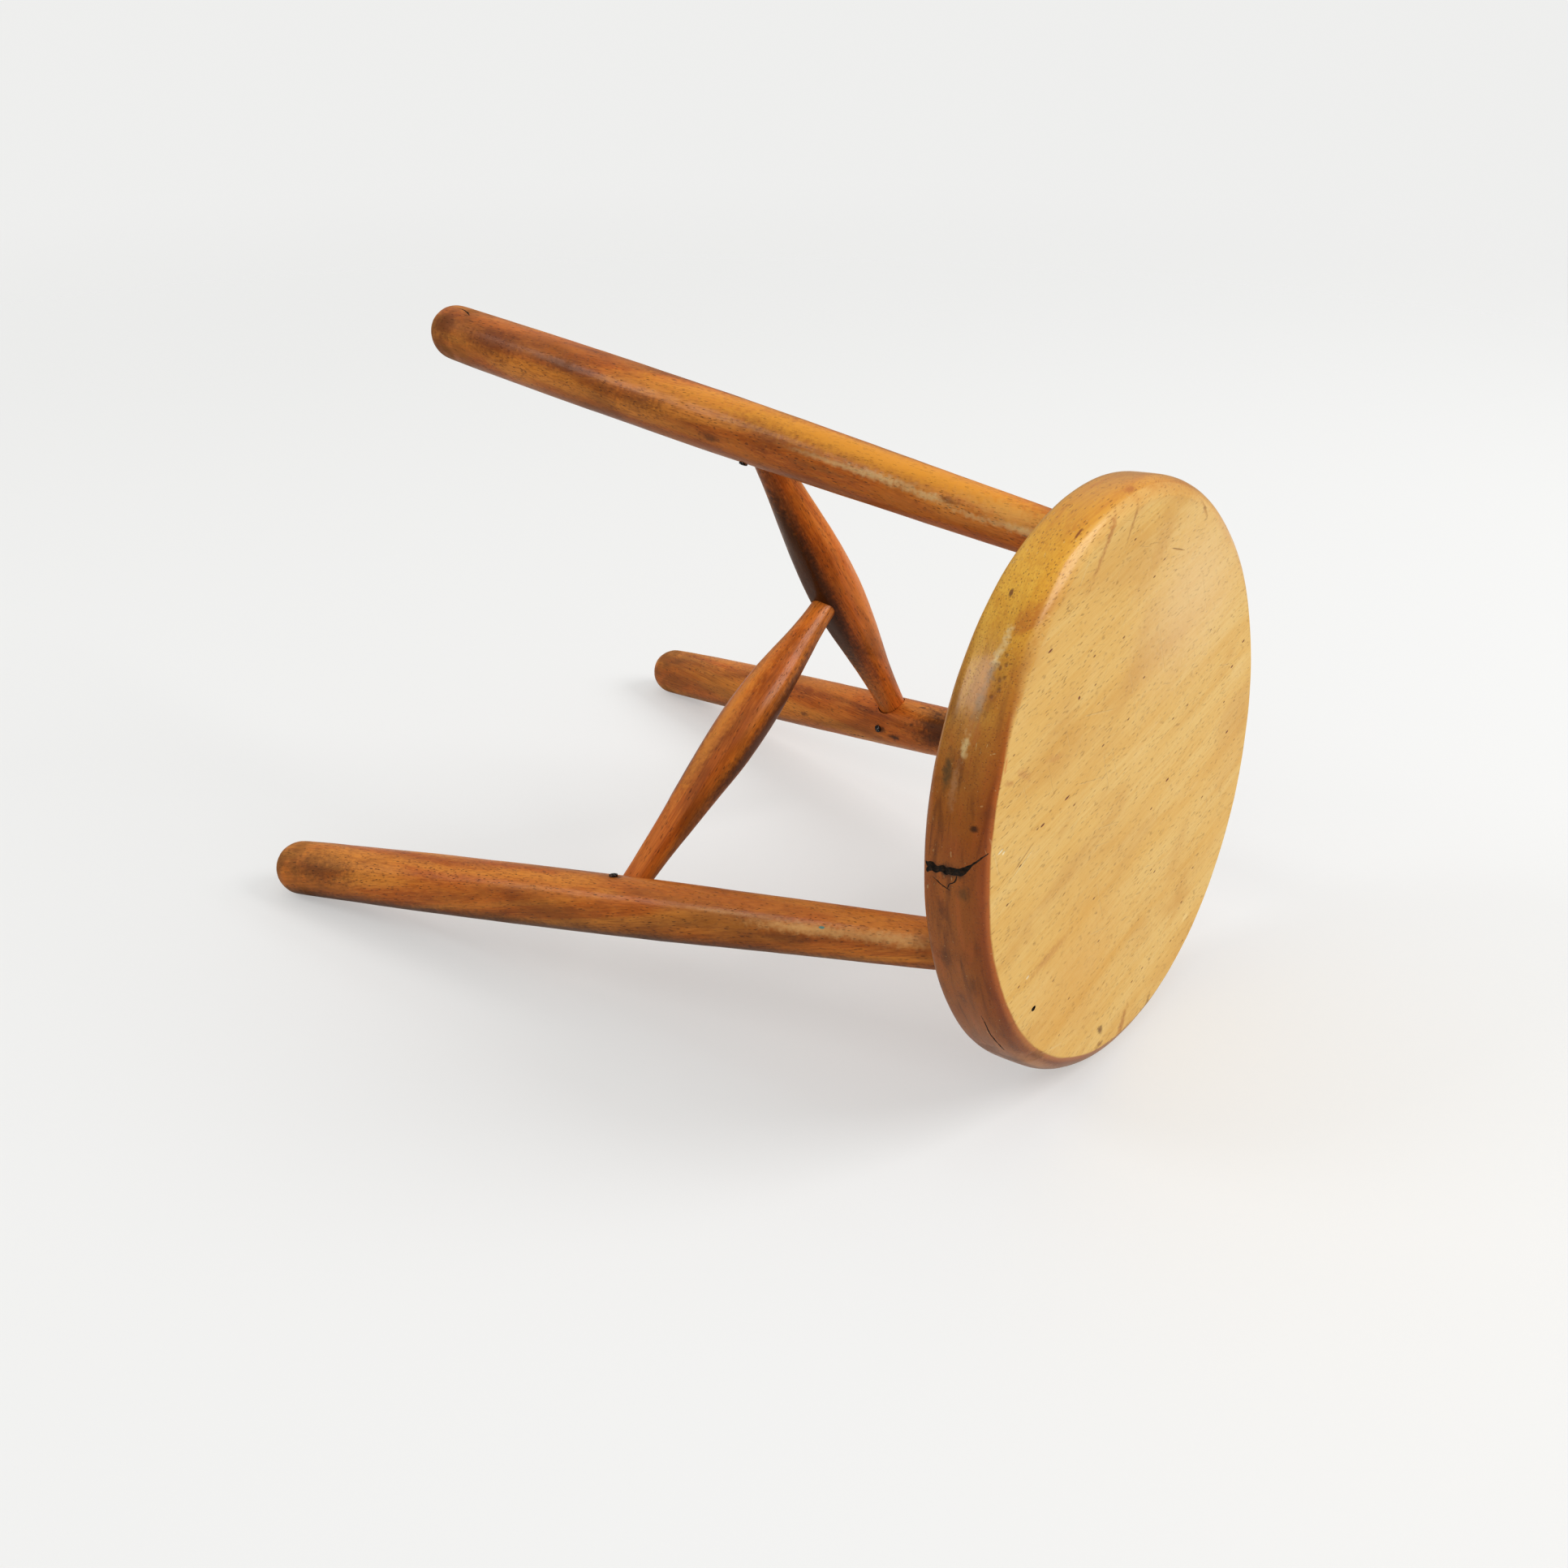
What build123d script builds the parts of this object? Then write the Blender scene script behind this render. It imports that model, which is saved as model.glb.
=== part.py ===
"""Round-seat stool on three raked legs, braced by a T of two swelled stretchers.

Millimetres, +Z up. The origin is on the floor, under the centre of the seat.
leg_back stands towards +Y, leg_right towards +X and leg_left towards -X.
"""

import os
from math import cos, pi, radians, sin

from build123d import *

# Seat: one turned board.
STOOL_HEIGHT = 445.0
SEAT_DIAMETER = 280.0
SEAT_THICKNESS = 29.0
SEAT_TOP_ROUND = 11.0
SEAT_UNDER_ROUND = 6.0

# Legs: each axis leans out from the seat to the floor.
LEG_SPREAD_AT_SEAT = 106.5
LEG_SPREAD_AT_FLOOR = 184.0
LEG_AZIMUTHS = {"back": 90.0, "right": -31.0, "left": 216.5}
LEG_FOOT_RADIUS = 15.3
LEG_BELLY_RADIUS = 16.0
LEG_BELLY_AT = 0.20
LEG_WAIST_RADIUS = 15.5
LEG_WAIST_AT = 0.50
LEG_SHANK_RADIUS = 14.2
LEG_SHANK_AT = 0.70
LEG_TENON_RADIUS = 11.2
LEG_TENON_DEPTH = 20.0
LEG_TENON_BARE = 5.0

# Stretchers: the heights are those of the stretcher axes on the leg axes.
STRETCHER_HEIGHTS = {"back": 224.0, "right": 227.0, "left": 224.0}
STRETCHER_STATIONS = 9
CROSS_END_RADIUS = 8.2
CROSS_SWELL_RADIUS = 15.2
CROSS_PEAK = 0.49
CROSS_SPANS = (0.90, 0.90)
CENTRE_END_RADIUS = 7.0
CENTRE_SWELL_RADIUS = 13.8
CENTRE_PEAK = 0.40
CENTRE_SPANS = (0.68, 1.15)
STRETCHER_BARE = 17.0
TENON_PAST_AXIS = 3.0
TENON_CHAMFER = 1.0
SOCKET_END_GAP = 1.0

# Nails: one through each leg's side into the stretcher's tenon.
# The turn is about the leg's upward axis, from the stretcher to the nail.
NAIL_TURNS = {"back": 50.0, "right": -55.0, "left": 58.0}
LEG_RADIUS_AT_NAIL = 15.2
NAIL_SHANK_RADIUS = 1.1
NAIL_HEAD_RADIUS = 2.2
NAIL_HEAD_PROUD = 1.2
NAIL_HEAD_EDGE = 0.4
NAIL_HEAD_SUNK = 0.4
NAIL_LENGTH = 25.0

SEAT_UNDERSIDE = STOOL_HEIGHT - SEAT_THICKNESS
SEAT_RADIUS = SEAT_DIAMETER / 2


def on_leg_axis(name, height):
    """Point of a leg's axis at the given height above the floor."""
    lean = (LEG_SPREAD_AT_SEAT - LEG_SPREAD_AT_FLOOR) / SEAT_UNDERSIDE
    reach = LEG_SPREAD_AT_FLOOR + lean * height
    turn = radians(LEG_AZIMUTHS[name])
    return Vector(reach * cos(turn), reach * sin(turn), height)


def leg_plane(name):
    """Plane at a leg's foot whose Z runs up the leg's axis."""
    foot = on_leg_axis(name, 0)
    return Plane(origin=foot, z_dir=on_leg_axis(name, SEAT_UNDERSIDE) - foot)


def turned(*edges):
    """Solid of revolution about Z of a closed outline drawn as (radius, height)."""
    return revolve(Plane.XZ * make_face(Curve() + [*edges]), Axis.Z)


def board():
    """The seat without its sockets, turned about Z."""
    low, high = SEAT_UNDERSIDE, STOOL_HEIGHT
    under_start = (SEAT_RADIUS - SEAT_UNDER_ROUND, low)
    under_end = (SEAT_RADIUS, low + SEAT_UNDER_ROUND)
    top_start = (SEAT_RADIUS, high - SEAT_TOP_ROUND)
    top_end = (SEAT_RADIUS - SEAT_TOP_ROUND, high)
    return turned(
        Line((0, low), under_start),
        RadiusArc(under_start, under_end, -SEAT_UNDER_ROUND),
        Line(under_end, top_start),
        RadiusArc(top_start, top_end, -SEAT_TOP_ROUND),
        Line(top_end, (0, high)),
        Line((0, high), (0, low)),
    )


def leg_blank(name):
    """A leg with its foot dome and its tenon, before the stretcher socket."""
    length = (on_leg_axis(name, SEAT_UNDERSIDE) - on_leg_axis(name, 0)).length
    neck = (LEG_TENON_RADIUS, length - LEG_TENON_BARE)
    end = length + LEG_TENON_DEPTH
    ankle = (LEG_FOOT_RADIUS, LEG_FOOT_RADIUS)
    taper = Spline(
        ankle,
        (LEG_BELLY_RADIUS, LEG_BELLY_AT * length),
        (LEG_WAIST_RADIUS, LEG_WAIST_AT * length),
        (LEG_SHANK_RADIUS, LEG_SHANK_AT * length),
        neck,
    )
    tenon_edge = (LEG_TENON_RADIUS, end - TENON_CHAMFER)
    tenon_end = (LEG_TENON_RADIUS - TENON_CHAMFER, end)
    solid = turned(
        RadiusArc((0, 0), ankle, -LEG_FOOT_RADIUS),
        taper,
        Line(neck, tenon_edge),
        Line(tenon_edge, tenon_end),
        Line(tenon_end, (0, end)),
        Line((0, end), (0, 0)),
    )
    below_floor = Pos(0, 0, -SEAT_RADIUS) * Box(SEAT_DIAMETER * 2, SEAT_DIAMETER * 2, SEAT_DIAMETER)
    return leg_plane(name) * solid - below_floor


def leg_tool(name):
    """The bit that bores a leg's socket in the seat."""
    length = (on_leg_axis(name, SEAT_UNDERSIDE) - on_leg_axis(name, 0)).length
    reach = LEG_TENON_DEPTH + SOCKET_END_GAP + LEG_TENON_BARE
    bit = Pos(0, 0, length - LEG_TENON_BARE + reach / 2) * Cylinder(LEG_TENON_RADIUS, reach)
    return leg_plane(name) * bit


def swell(fraction, peak, spans):
    """Raised cosine that is 1 at the peak and 0 half a span to either side."""
    offset = (fraction - peak) / spans[fraction > peak]
    return cos(pi * offset) ** 2 if abs(offset) < 0.5 else 0.0


def stretcher(start, finish, radii, peak, spans):
    """A stretcher between two axis points, with a bare tenon past each of them."""
    end_radius, swell_radius = radii
    length = (finish - start).length
    shoulders = (STRETCHER_BARE, length - STRETCHER_BARE)
    stations = []
    for step in range(STRETCHER_STATIONS):
        along = shoulders[0] + (shoulders[1] - shoulders[0]) * step / (STRETCHER_STATIONS - 1)
        rise = swell(along / length, peak, spans) if 0 < step < STRETCHER_STATIONS - 1 else 0.0
        stations.append((end_radius + (swell_radius - end_radius) * rise, along))
    low, high = -TENON_PAST_AXIS, length + TENON_PAST_AXIS
    tip = end_radius - TENON_CHAMFER
    solid = turned(
        Line((0, low), (tip, low)),
        Line((tip, low), (end_radius, low + TENON_CHAMFER)),
        Line((end_radius, low + TENON_CHAMFER), stations[0]),
        Spline(*stations),
        Line(stations[-1], (end_radius, high - TENON_CHAMFER)),
        Line((end_radius, high - TENON_CHAMFER), (tip, high)),
        Line((tip, high), (0, high)),
        Line((0, high), (0, low)),
    )
    return Plane(origin=start, z_dir=finish - start) * solid


def socket_tool(mouth, axis_point, radius):
    """The bit that bores a stretcher's socket, from the mouth side past the axis."""
    depth = STRETCHER_BARE + TENON_PAST_AXIS + SOCKET_END_GAP
    bit = Pos(0, 0, STRETCHER_BARE - depth / 2) * Cylinder(radius, depth)
    return Plane(origin=axis_point, z_dir=mouth - axis_point) * bit


def nail(name, inward):
    """A nail driven square to the leg's axis, through the side of the tenon."""
    point = on_leg_axis(name, STRETCHER_HEIGHTS[name])
    up = leg_plane(name).z_dir
    flat = (inward - up * inward.dot(up)).normalized()
    out = flat.rotate(Axis((0, 0, 0), up), NAIL_TURNS[name])
    rim = LEG_RADIUS_AT_NAIL - NAIL_HEAD_SUNK
    crown = LEG_RADIUS_AT_NAIL + NAIL_HEAD_PROUD
    edge = (NAIL_HEAD_RADIUS, crown - NAIL_HEAD_EDGE)
    dome_radius = (NAIL_HEAD_RADIUS**2 + NAIL_HEAD_EDGE**2) / (2 * NAIL_HEAD_EDGE)
    tip = crown - NAIL_LENGTH
    shank_top = (NAIL_SHANK_RADIUS, rim)
    shank_foot = (NAIL_SHANK_RADIUS, tip + NAIL_HEAD_RADIUS)
    solid = turned(
        Line((0, tip), shank_foot),
        Line(shank_foot, shank_top),
        Line(shank_top, (NAIL_HEAD_RADIUS, rim)),
        Line((NAIL_HEAD_RADIUS, rim), edge),
        RadiusArc(edge, (0, crown), -dome_radius),
        Line((0, crown), (0, tip)),
    )
    return Plane(origin=point, z_dir=out) * solid


def build():
    """Every piece of the stool by its node name."""
    joints = {name: on_leg_axis(name, height) for name, height in STRETCHER_HEIGHTS.items()}
    middle = (joints["right"] + joints["left"]) * 0.5
    ends = {"right": joints["left"], "left": joints["right"], "back": middle}
    radii = {"right": CROSS_END_RADIUS, "left": CROSS_END_RADIUS, "back": CENTRE_END_RADIUS}
    nails = {name: nail(name, ends[name] - joints[name]) for name in joints}

    cross = stretcher(
        joints["right"],
        joints["left"],
        (CROSS_END_RADIUS, CROSS_SWELL_RADIUS),
        CROSS_PEAK,
        CROSS_SPANS,
    )
    centre = stretcher(
        middle,
        joints["back"],
        (CENTRE_END_RADIUS, CENTRE_SWELL_RADIUS),
        CENTRE_PEAK,
        CENTRE_SPANS,
    )
    cross -= socket_tool(joints["back"], middle, CENTRE_END_RADIUS)
    pieces = {
        "cross_stretcher": cross - nails["right"] - nails["left"],
        "centre_stretcher": centre - nails["back"],
    }

    seat = board()
    for name, joint in joints.items():
        seat -= leg_tool(name)
        leg = leg_blank(name) - socket_tool(ends[name], joint, radii[name])
        pieces[f"leg_{name}"] = leg - nails[name]
        pieces[f"nail_{name}"] = nails[name]
    pieces["seat"] = seat
    return pieces


def main():
    """Write one STEP file for each piece."""
    os.makedirs("parts", exist_ok=True)
    for name, solid in build().items():
        export_step(solid, f"parts/{name}.step")
        print(f"{name:18s} {solid.volume / 1000:8.2f} cm3")


main()
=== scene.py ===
"""Round-seat beech stool on three raked legs: its visible pieces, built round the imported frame.

Metres, +Z up. The origin is on the floor, under the centre of the seat.
"""

import logging
import math
import random
from collections.abc import Sequence
from dataclasses import dataclass, field
from enum import Enum

import bpy
import numpy as np
from mathutils import Euler, Matrix, Vector


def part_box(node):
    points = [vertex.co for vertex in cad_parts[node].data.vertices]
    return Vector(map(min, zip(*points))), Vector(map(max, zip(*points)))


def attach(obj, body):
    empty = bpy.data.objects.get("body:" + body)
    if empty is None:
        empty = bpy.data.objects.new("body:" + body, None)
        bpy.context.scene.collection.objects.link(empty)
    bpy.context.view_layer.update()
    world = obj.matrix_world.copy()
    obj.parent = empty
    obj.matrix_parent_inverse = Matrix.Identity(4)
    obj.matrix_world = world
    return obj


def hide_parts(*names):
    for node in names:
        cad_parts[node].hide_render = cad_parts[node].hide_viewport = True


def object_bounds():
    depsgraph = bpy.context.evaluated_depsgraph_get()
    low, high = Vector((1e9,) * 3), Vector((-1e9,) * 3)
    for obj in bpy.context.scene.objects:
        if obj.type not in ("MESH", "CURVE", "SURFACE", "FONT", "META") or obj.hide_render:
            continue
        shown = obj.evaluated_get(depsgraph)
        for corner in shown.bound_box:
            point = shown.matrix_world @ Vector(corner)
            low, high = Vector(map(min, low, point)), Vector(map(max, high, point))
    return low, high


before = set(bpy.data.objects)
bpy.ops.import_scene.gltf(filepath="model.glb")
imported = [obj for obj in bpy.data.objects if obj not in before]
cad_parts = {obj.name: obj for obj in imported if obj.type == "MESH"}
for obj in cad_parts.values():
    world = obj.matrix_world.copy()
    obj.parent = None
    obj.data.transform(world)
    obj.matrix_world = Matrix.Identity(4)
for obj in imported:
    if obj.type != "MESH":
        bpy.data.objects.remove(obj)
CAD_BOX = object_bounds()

log = logging.getLogger("stool")

MM = 0.001
BODY = "root"
UP = Vector((0.0, 0.0, 1.0))
SMOOTH_ANGLE = math.radians(32.0)
VARNISH_IOR = 1.45
BIT_SEGMENTS = 48

Socket = bpy.types.NodeSocket
Piece = bpy.types.Object
Colour = tuple[float, float, float, float]
Shade = tuple[int, int, int]


class Slot(Enum):
    """The record's material slots."""

    SEAT = "seat_wood"
    LEG = "leg_wood"
    STRETCHER = "stretcher_wood"


def tint(red: float, green: float, blue: float) -> Colour:
    """Linear colour of a display colour.

    Args:
        red: Red, 0 to 255.
        green: Green, 0 to 255.
        blue: Blue, 0 to 255.

    Returns:
        The linear colour with full alpha.
    """

    def linear(value: float) -> float:
        """One channel made linear."""
        share = value / 255.0
        return share / 12.92 if share <= 0.04045 else ((share + 0.055) / 1.055) ** 2.4

    return (linear(red), linear(green), linear(blue), 1.0)


# ---------------------------------------------------------------- lines and places


@dataclass(frozen=True)
class CentreLine:
    """The axis of a turned piece, with a direction from which turns about it are counted."""

    start: Vector
    end: Vector
    datum: Vector

    @property
    def along(self) -> Vector:
        """Unit direction from start to end."""
        return (self.end - self.start).normalized()

    @property
    def length(self) -> float:
        """Distance from start to end."""
        return (self.end - self.start).length

    @property
    def axes(self) -> Matrix:
        """Columns: the datum made square to the line, the direction a quarter turn on, the line."""
        out = (self.datum - self.along * self.datum.dot(self.along)).normalized()
        side = self.along.cross(out)
        return Matrix((out, side, self.along)).transposed()

    def at(self, distance: float) -> Vector:
        """The point of the line at a distance from its start."""
        return self.start + self.along * distance

    def side(self, degrees: float) -> Vector:
        """Unit direction square to the line, turned from the datum."""
        turn = math.radians(degrees)
        return self.axes @ Vector((math.cos(turn), math.sin(turn), 0.0))

    def on_side(self, distance: float, degrees: float, radius: float) -> Vector:
        """The point at a distance along the line, turned from the datum and a radius off the line."""
        return self.at(distance) + self.side(degrees) * radius

    @classmethod
    def of_node(cls, node: str, toward: Vector, datum: Vector) -> "CentreLine":
        """The axis of a turned CAD node, found from its flat end.

        Args:
            node: The CAD node's name.
            toward: Rough direction of the end whose flat face is square to the axis.
            datum: Direction from which turns are counted.

        Returns:
            The line between the node's two ends, ending at the flat face.
        """
        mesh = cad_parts[node].data
        points = np.unique(np.round([tuple(v.co) for v in mesh.vertices], 7), axis=0)
        middle = points.mean(axis=0)
        direction = np.linalg.svd(points - middle, full_matrices=False)[2][0]
        if direction @ np.array(toward) < 0:
            direction = -direction
        for _ in range(3):
            reach = points @ direction
            flat = points[reach > reach.max() - 0.3 * MM]
            centre = flat.mean(axis=0)
            normal = np.linalg.svd(flat - centre, full_matrices=False)[2][2]
            direction = normal if normal @ direction > 0 else -normal
        low = (points @ direction).min()
        end = Vector(centre)
        along = Vector(direction)
        return cls(end - along * (end.dot(along) - float(low)), end, datum)


@dataclass(frozen=True)
class Ring:
    """One ring of a turned outline: how far along the line it stands, and its radius."""

    distance: float
    radius: float


def smooth_radius(stations: Sequence[tuple[float, float]], distance: float) -> float:
    """Radius of a smooth curve through (distance, radius) stations.

    Args:
        stations: The stations, in order.
        distance: Where to read the curve.

    Returns:
        The radius there.
    """
    slopes = []
    for index in range(len(stations)):
        before = stations[max(index - 1, 0)]
        after = stations[min(index + 1, len(stations) - 1)]
        slopes.append((after[1] - before[1]) / (after[0] - before[0]))
    for index, (near, far) in enumerate(zip(stations, stations[1:])):
        if distance <= far[0]:
            break
    span = far[0] - near[0]
    t = (distance - near[0]) / span
    return (
        (2 * t**3 - 3 * t**2 + 1) * near[1]
        + (t**3 - 2 * t**2 + t) * span * slopes[index]
        + (3 * t**2 - 2 * t**3) * far[1]
        + (t**3 - t**2) * span * slopes[index + 1]
    )


# ---------------------------------------------------------------- the workbench


class Bench:
    """Shapes pieces with Blender's operators."""

    @staticmethod
    def clear() -> None:
        """Leaves edit mode and deselects everything."""
        if bpy.context.object and bpy.context.object.mode != "OBJECT":
            bpy.ops.object.mode_set(mode="OBJECT")
        bpy.ops.object.select_all(action="DESELECT")

    @staticmethod
    def pick(piece: Piece) -> None:
        """Selects one object and makes it active.

        Args:
            piece: The piece.
        """
        Bench.clear()
        piece.select_set(True)
        bpy.context.view_layer.objects.active = piece

    @staticmethod
    def turn(name: str, line: CentreLine, outline: Sequence[Ring], segments: int) -> Piece:
        """Turns a closed solid about a line: the rings in order, the first and last closed flat."""
        points = [line.at(ring.distance) for ring in outline]
        return Bench.loft(name, points, [ring.radius for ring in outline], line.axes, segments)

    @staticmethod
    def loft(
        name: str, points: Sequence[Vector], radii: Sequence[float], axes: Matrix, segments: int
    ) -> Piece:
        """Extrudes a disc from point to point and scales it at each.

        Args:
            name: The piece's name.
            points: The ring centres.
            radii: The ring radii.
            axes: Columns of the disc's own axes; the disc is square to the third.
            segments: Vertices in a ring.

        Returns:
            The piece, with its place in its mesh.
        """
        Bench.clear()
        bpy.ops.mesh.primitive_circle_add(
            vertices=segments,
            radius=radii[0],
            fill_type="NGON",
            location=points[0],
            rotation=axes.to_euler(),
            enter_editmode=True,
        )
        piece = bpy.context.object
        piece.name = name
        piece.data.name = name
        for index in range(1, len(points)):
            step = points[index] - points[index - 1]
            bpy.ops.mesh.extrude_region_move(TRANSFORM_OT_translate={"value": step})
            share = radii[index] / radii[index - 1]
            bpy.ops.transform.resize(value=(share, share, share), center_override=points[index])
        bpy.ops.mesh.select_all(action="SELECT")
        bpy.ops.mesh.normals_make_consistent(inside=False)
        bpy.ops.object.mode_set(mode="OBJECT")
        bpy.ops.object.transform_apply(location=True, rotation=True, scale=True)
        return piece

    @staticmethod
    def apply(piece: Piece) -> None:
        """Applies every modifier of a piece, in order.

        Args:
            piece: The piece.
        """
        Bench.pick(piece)
        for name in [modifier.name for modifier in piece.modifiers]:
            bpy.ops.object.modifier_apply(modifier=name)

    @staticmethod
    def subdivide(piece: Piece, levels: int) -> None:
        """Rounds a piece with an applied subdivision surface.

        Args:
            piece: The piece.
            levels: How many times each face is split.
        """
        modifier = piece.modifiers.new("rounding", "SUBSURF")
        modifier.levels = levels
        modifier.render_levels = levels
        Bench.apply(piece)

    @staticmethod
    def unevenness(
        piece: Piece, size: float, depth: float, axes: Matrix, stretch: float
    ) -> None:
        """Presses soft hollows and ridges into a piece, as hand tools and wear leave them.

        Args:
            piece: The piece.
            size: Width of a hollow.
            depth: Height between hollow and ridge.
            axes: Columns of the pattern's own axes.
            stretch: How much longer than wide the hollows are along the third axis.
        """
        Bench.clear()
        bpy.ops.object.empty_add(rotation=axes.to_euler())
        guide = bpy.context.object
        guide.scale = (1.0, 1.0, stretch)
        clouds = bpy.data.textures.new("hollows", "CLOUDS")
        clouds.noise_scale = size
        clouds.noise_depth = 1
        modifier = piece.modifiers.new("hollows", "DISPLACE")
        modifier.texture = clouds
        modifier.texture_coords = "OBJECT"
        modifier.texture_coords_object = guide
        modifier.strength = depth
        modifier.mid_level = 0.5
        bpy.context.view_layer.update()
        Bench.apply(piece)
        bpy.data.objects.remove(guide)
        bpy.data.textures.remove(clouds)

    @staticmethod
    def carve(piece: Piece, tools: Sequence[Piece]) -> None:
        """Cuts tools out of a piece and deletes them.

        Args:
            piece: The piece.
            tools: Closed solids that don't touch each other.
        """
        Bench.clear()
        for tool in tools:
            tool.select_set(True)
        bpy.context.view_layer.objects.active = tools[0]
        if len(tools) > 1:
            bpy.ops.object.join()
        cutter = bpy.context.view_layer.objects.active
        modifier = piece.modifiers.new("cut", "BOOLEAN")
        modifier.operation = "DIFFERENCE"
        modifier.solver = "EXACT"
        modifier.material_mode = "TRANSFER"
        modifier.object = cutter
        Bench.apply(piece)
        bpy.data.objects.remove(cutter)

    @staticmethod
    def finish(piece: Piece, slot: Slot, nodes: Sequence[str]) -> None:
        """Smooths a piece's shading and hands it to the frame.

        Args:
            piece: The piece.
            slot: The record's slot; not used.
            nodes: The CAD nodes it stands for.
        """
        Bench.pick(piece)
        bpy.ops.object.shade_smooth_by_angle(angle=SMOOTH_ANGLE)
        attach(piece, BODY)
        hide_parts(*nodes)
        low = [min(v.co[axis] for v in piece.data.vertices) for axis in range(3)]
        high = [max(v.co[axis] for v in piece.data.vertices) for axis in range(3)]
        size = [round((top - bottom) / MM, 1) for bottom, top in zip(low, high)]
        log.info("%s: %d faces, %s mm", piece.name, len(piece.data.polygons), size)


# ---------------------------------------------------------------- node trees


class Tree:
    """A node tree being wired."""

    def __init__(self, nodes: bpy.types.NodeTree) -> None:
        """Keeps the tree to wire."""
        self.nodes = nodes

    def add(self, kind: str, inputs: dict, **settings: object) -> bpy.types.Node:
        """Adds a node.

        Args:
            kind: The node's type without its ShaderNode prefix.
            inputs: Input name or number to a value or to a socket to join.
            settings: The node's own properties.

        Returns:
            The node.
        """
        node = self.nodes.nodes.new("ShaderNode" + kind)
        for name, value in settings.items():
            setattr(node, name, value)
        return self.joined(node, inputs)

    def joined(self, node: bpy.types.Node, inputs: dict) -> bpy.types.Node:
        """Sets a node's inputs, or joins them where a socket is given.

        Args:
            node: The node.
            inputs: Input name or number to a value or to a socket to join.

        Returns:
            The node.
        """
        for name, value in inputs.items():
            if isinstance(value, Socket):
                self.nodes.links.new(value, node.inputs[name])
            else:
                node.inputs[name].default_value = value
        return node

    def math(self, operation: str, first: object, second: object = 0.0) -> Socket:
        """One number from two."""
        return self.add("Math", {0: first, 1: second}, operation=operation).outputs[0]

    def times(self, first: object, second: object) -> Socket:
        """Product of two numbers."""
        return self.math("MULTIPLY", first, second)

    def plus(self, first: object, second: object) -> Socket:
        """Sum of two numbers."""
        return self.math("ADD", first, second)

    def minus(self, first: object, second: object) -> Socket:
        """First number less the second."""
        return self.math("SUBTRACT", first, second)

    def scaled(self, vector: object, factors: object) -> Socket:
        """A vector times another, axis by axis."""
        return self.vector("MULTIPLY", vector, factors)

    def vector(self, operation: str, first: object, second: object = (0.0, 0.0, 0.0)) -> Socket:
        """One vector from two."""
        return self.add("VectorMath", {0: first, 1: second}, operation=operation).outputs[0]

    def step(self, value: object, low: object, high: object, bottom: float = 0.0, top: float = 1.0) -> Socket:
        """A soft step from bottom to top as the value goes from low to high."""
        inputs = {"Value": value, "From Min": low, "From Max": high, "To Min": bottom, "To Max": top}
        return self.add("MapRange", inputs, interpolation_type="SMOOTHSTEP").outputs["Result"]

    def blend(self, mask: object, under: object, over: object) -> Socket:
        """Lays one colour over another through a mask."""
        return self.add("Mix", {0: mask, 6: under, 7: over}, data_type="RGBA").outputs[2]

    def lay(self, under: Socket, mask: Socket, share: float, over: Shade) -> Socket:
        """Lays a display colour over a colour through a share of a mask."""
        return self.blend(self.times(mask, share), under, tint(*over))

    def noise(self, vector: Socket, scale: float, detail: float = 2.0, twist: float = 0.0) -> Socket:
        """Cloudy pattern from 0 to 1."""
        inputs = {"Vector": vector, "Scale": scale, "Detail": detail, "Distortion": twist}
        return self.add("TexNoise", inputs).outputs["Fac"]

    def group(self, effect: bpy.types.NodeTree, inputs: dict) -> bpy.types.Node:
        """Places a shared effect.

        Args:
            effect: The effect's node group.
            inputs: Input name to a value or to a socket to join.

        Returns:
            The node that holds it.
        """
        node = self.nodes.nodes.new("ShaderNodeGroup")
        node.node_tree = effect
        return self.joined(node, inputs)

    def finish(self, outputs: bpy.types.Node, results: dict[str, Socket]) -> bpy.types.NodeTree:
        """Joins an effect's results to its outputs and gives the effect."""
        self.joined(outputs, results)
        return self.nodes


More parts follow.
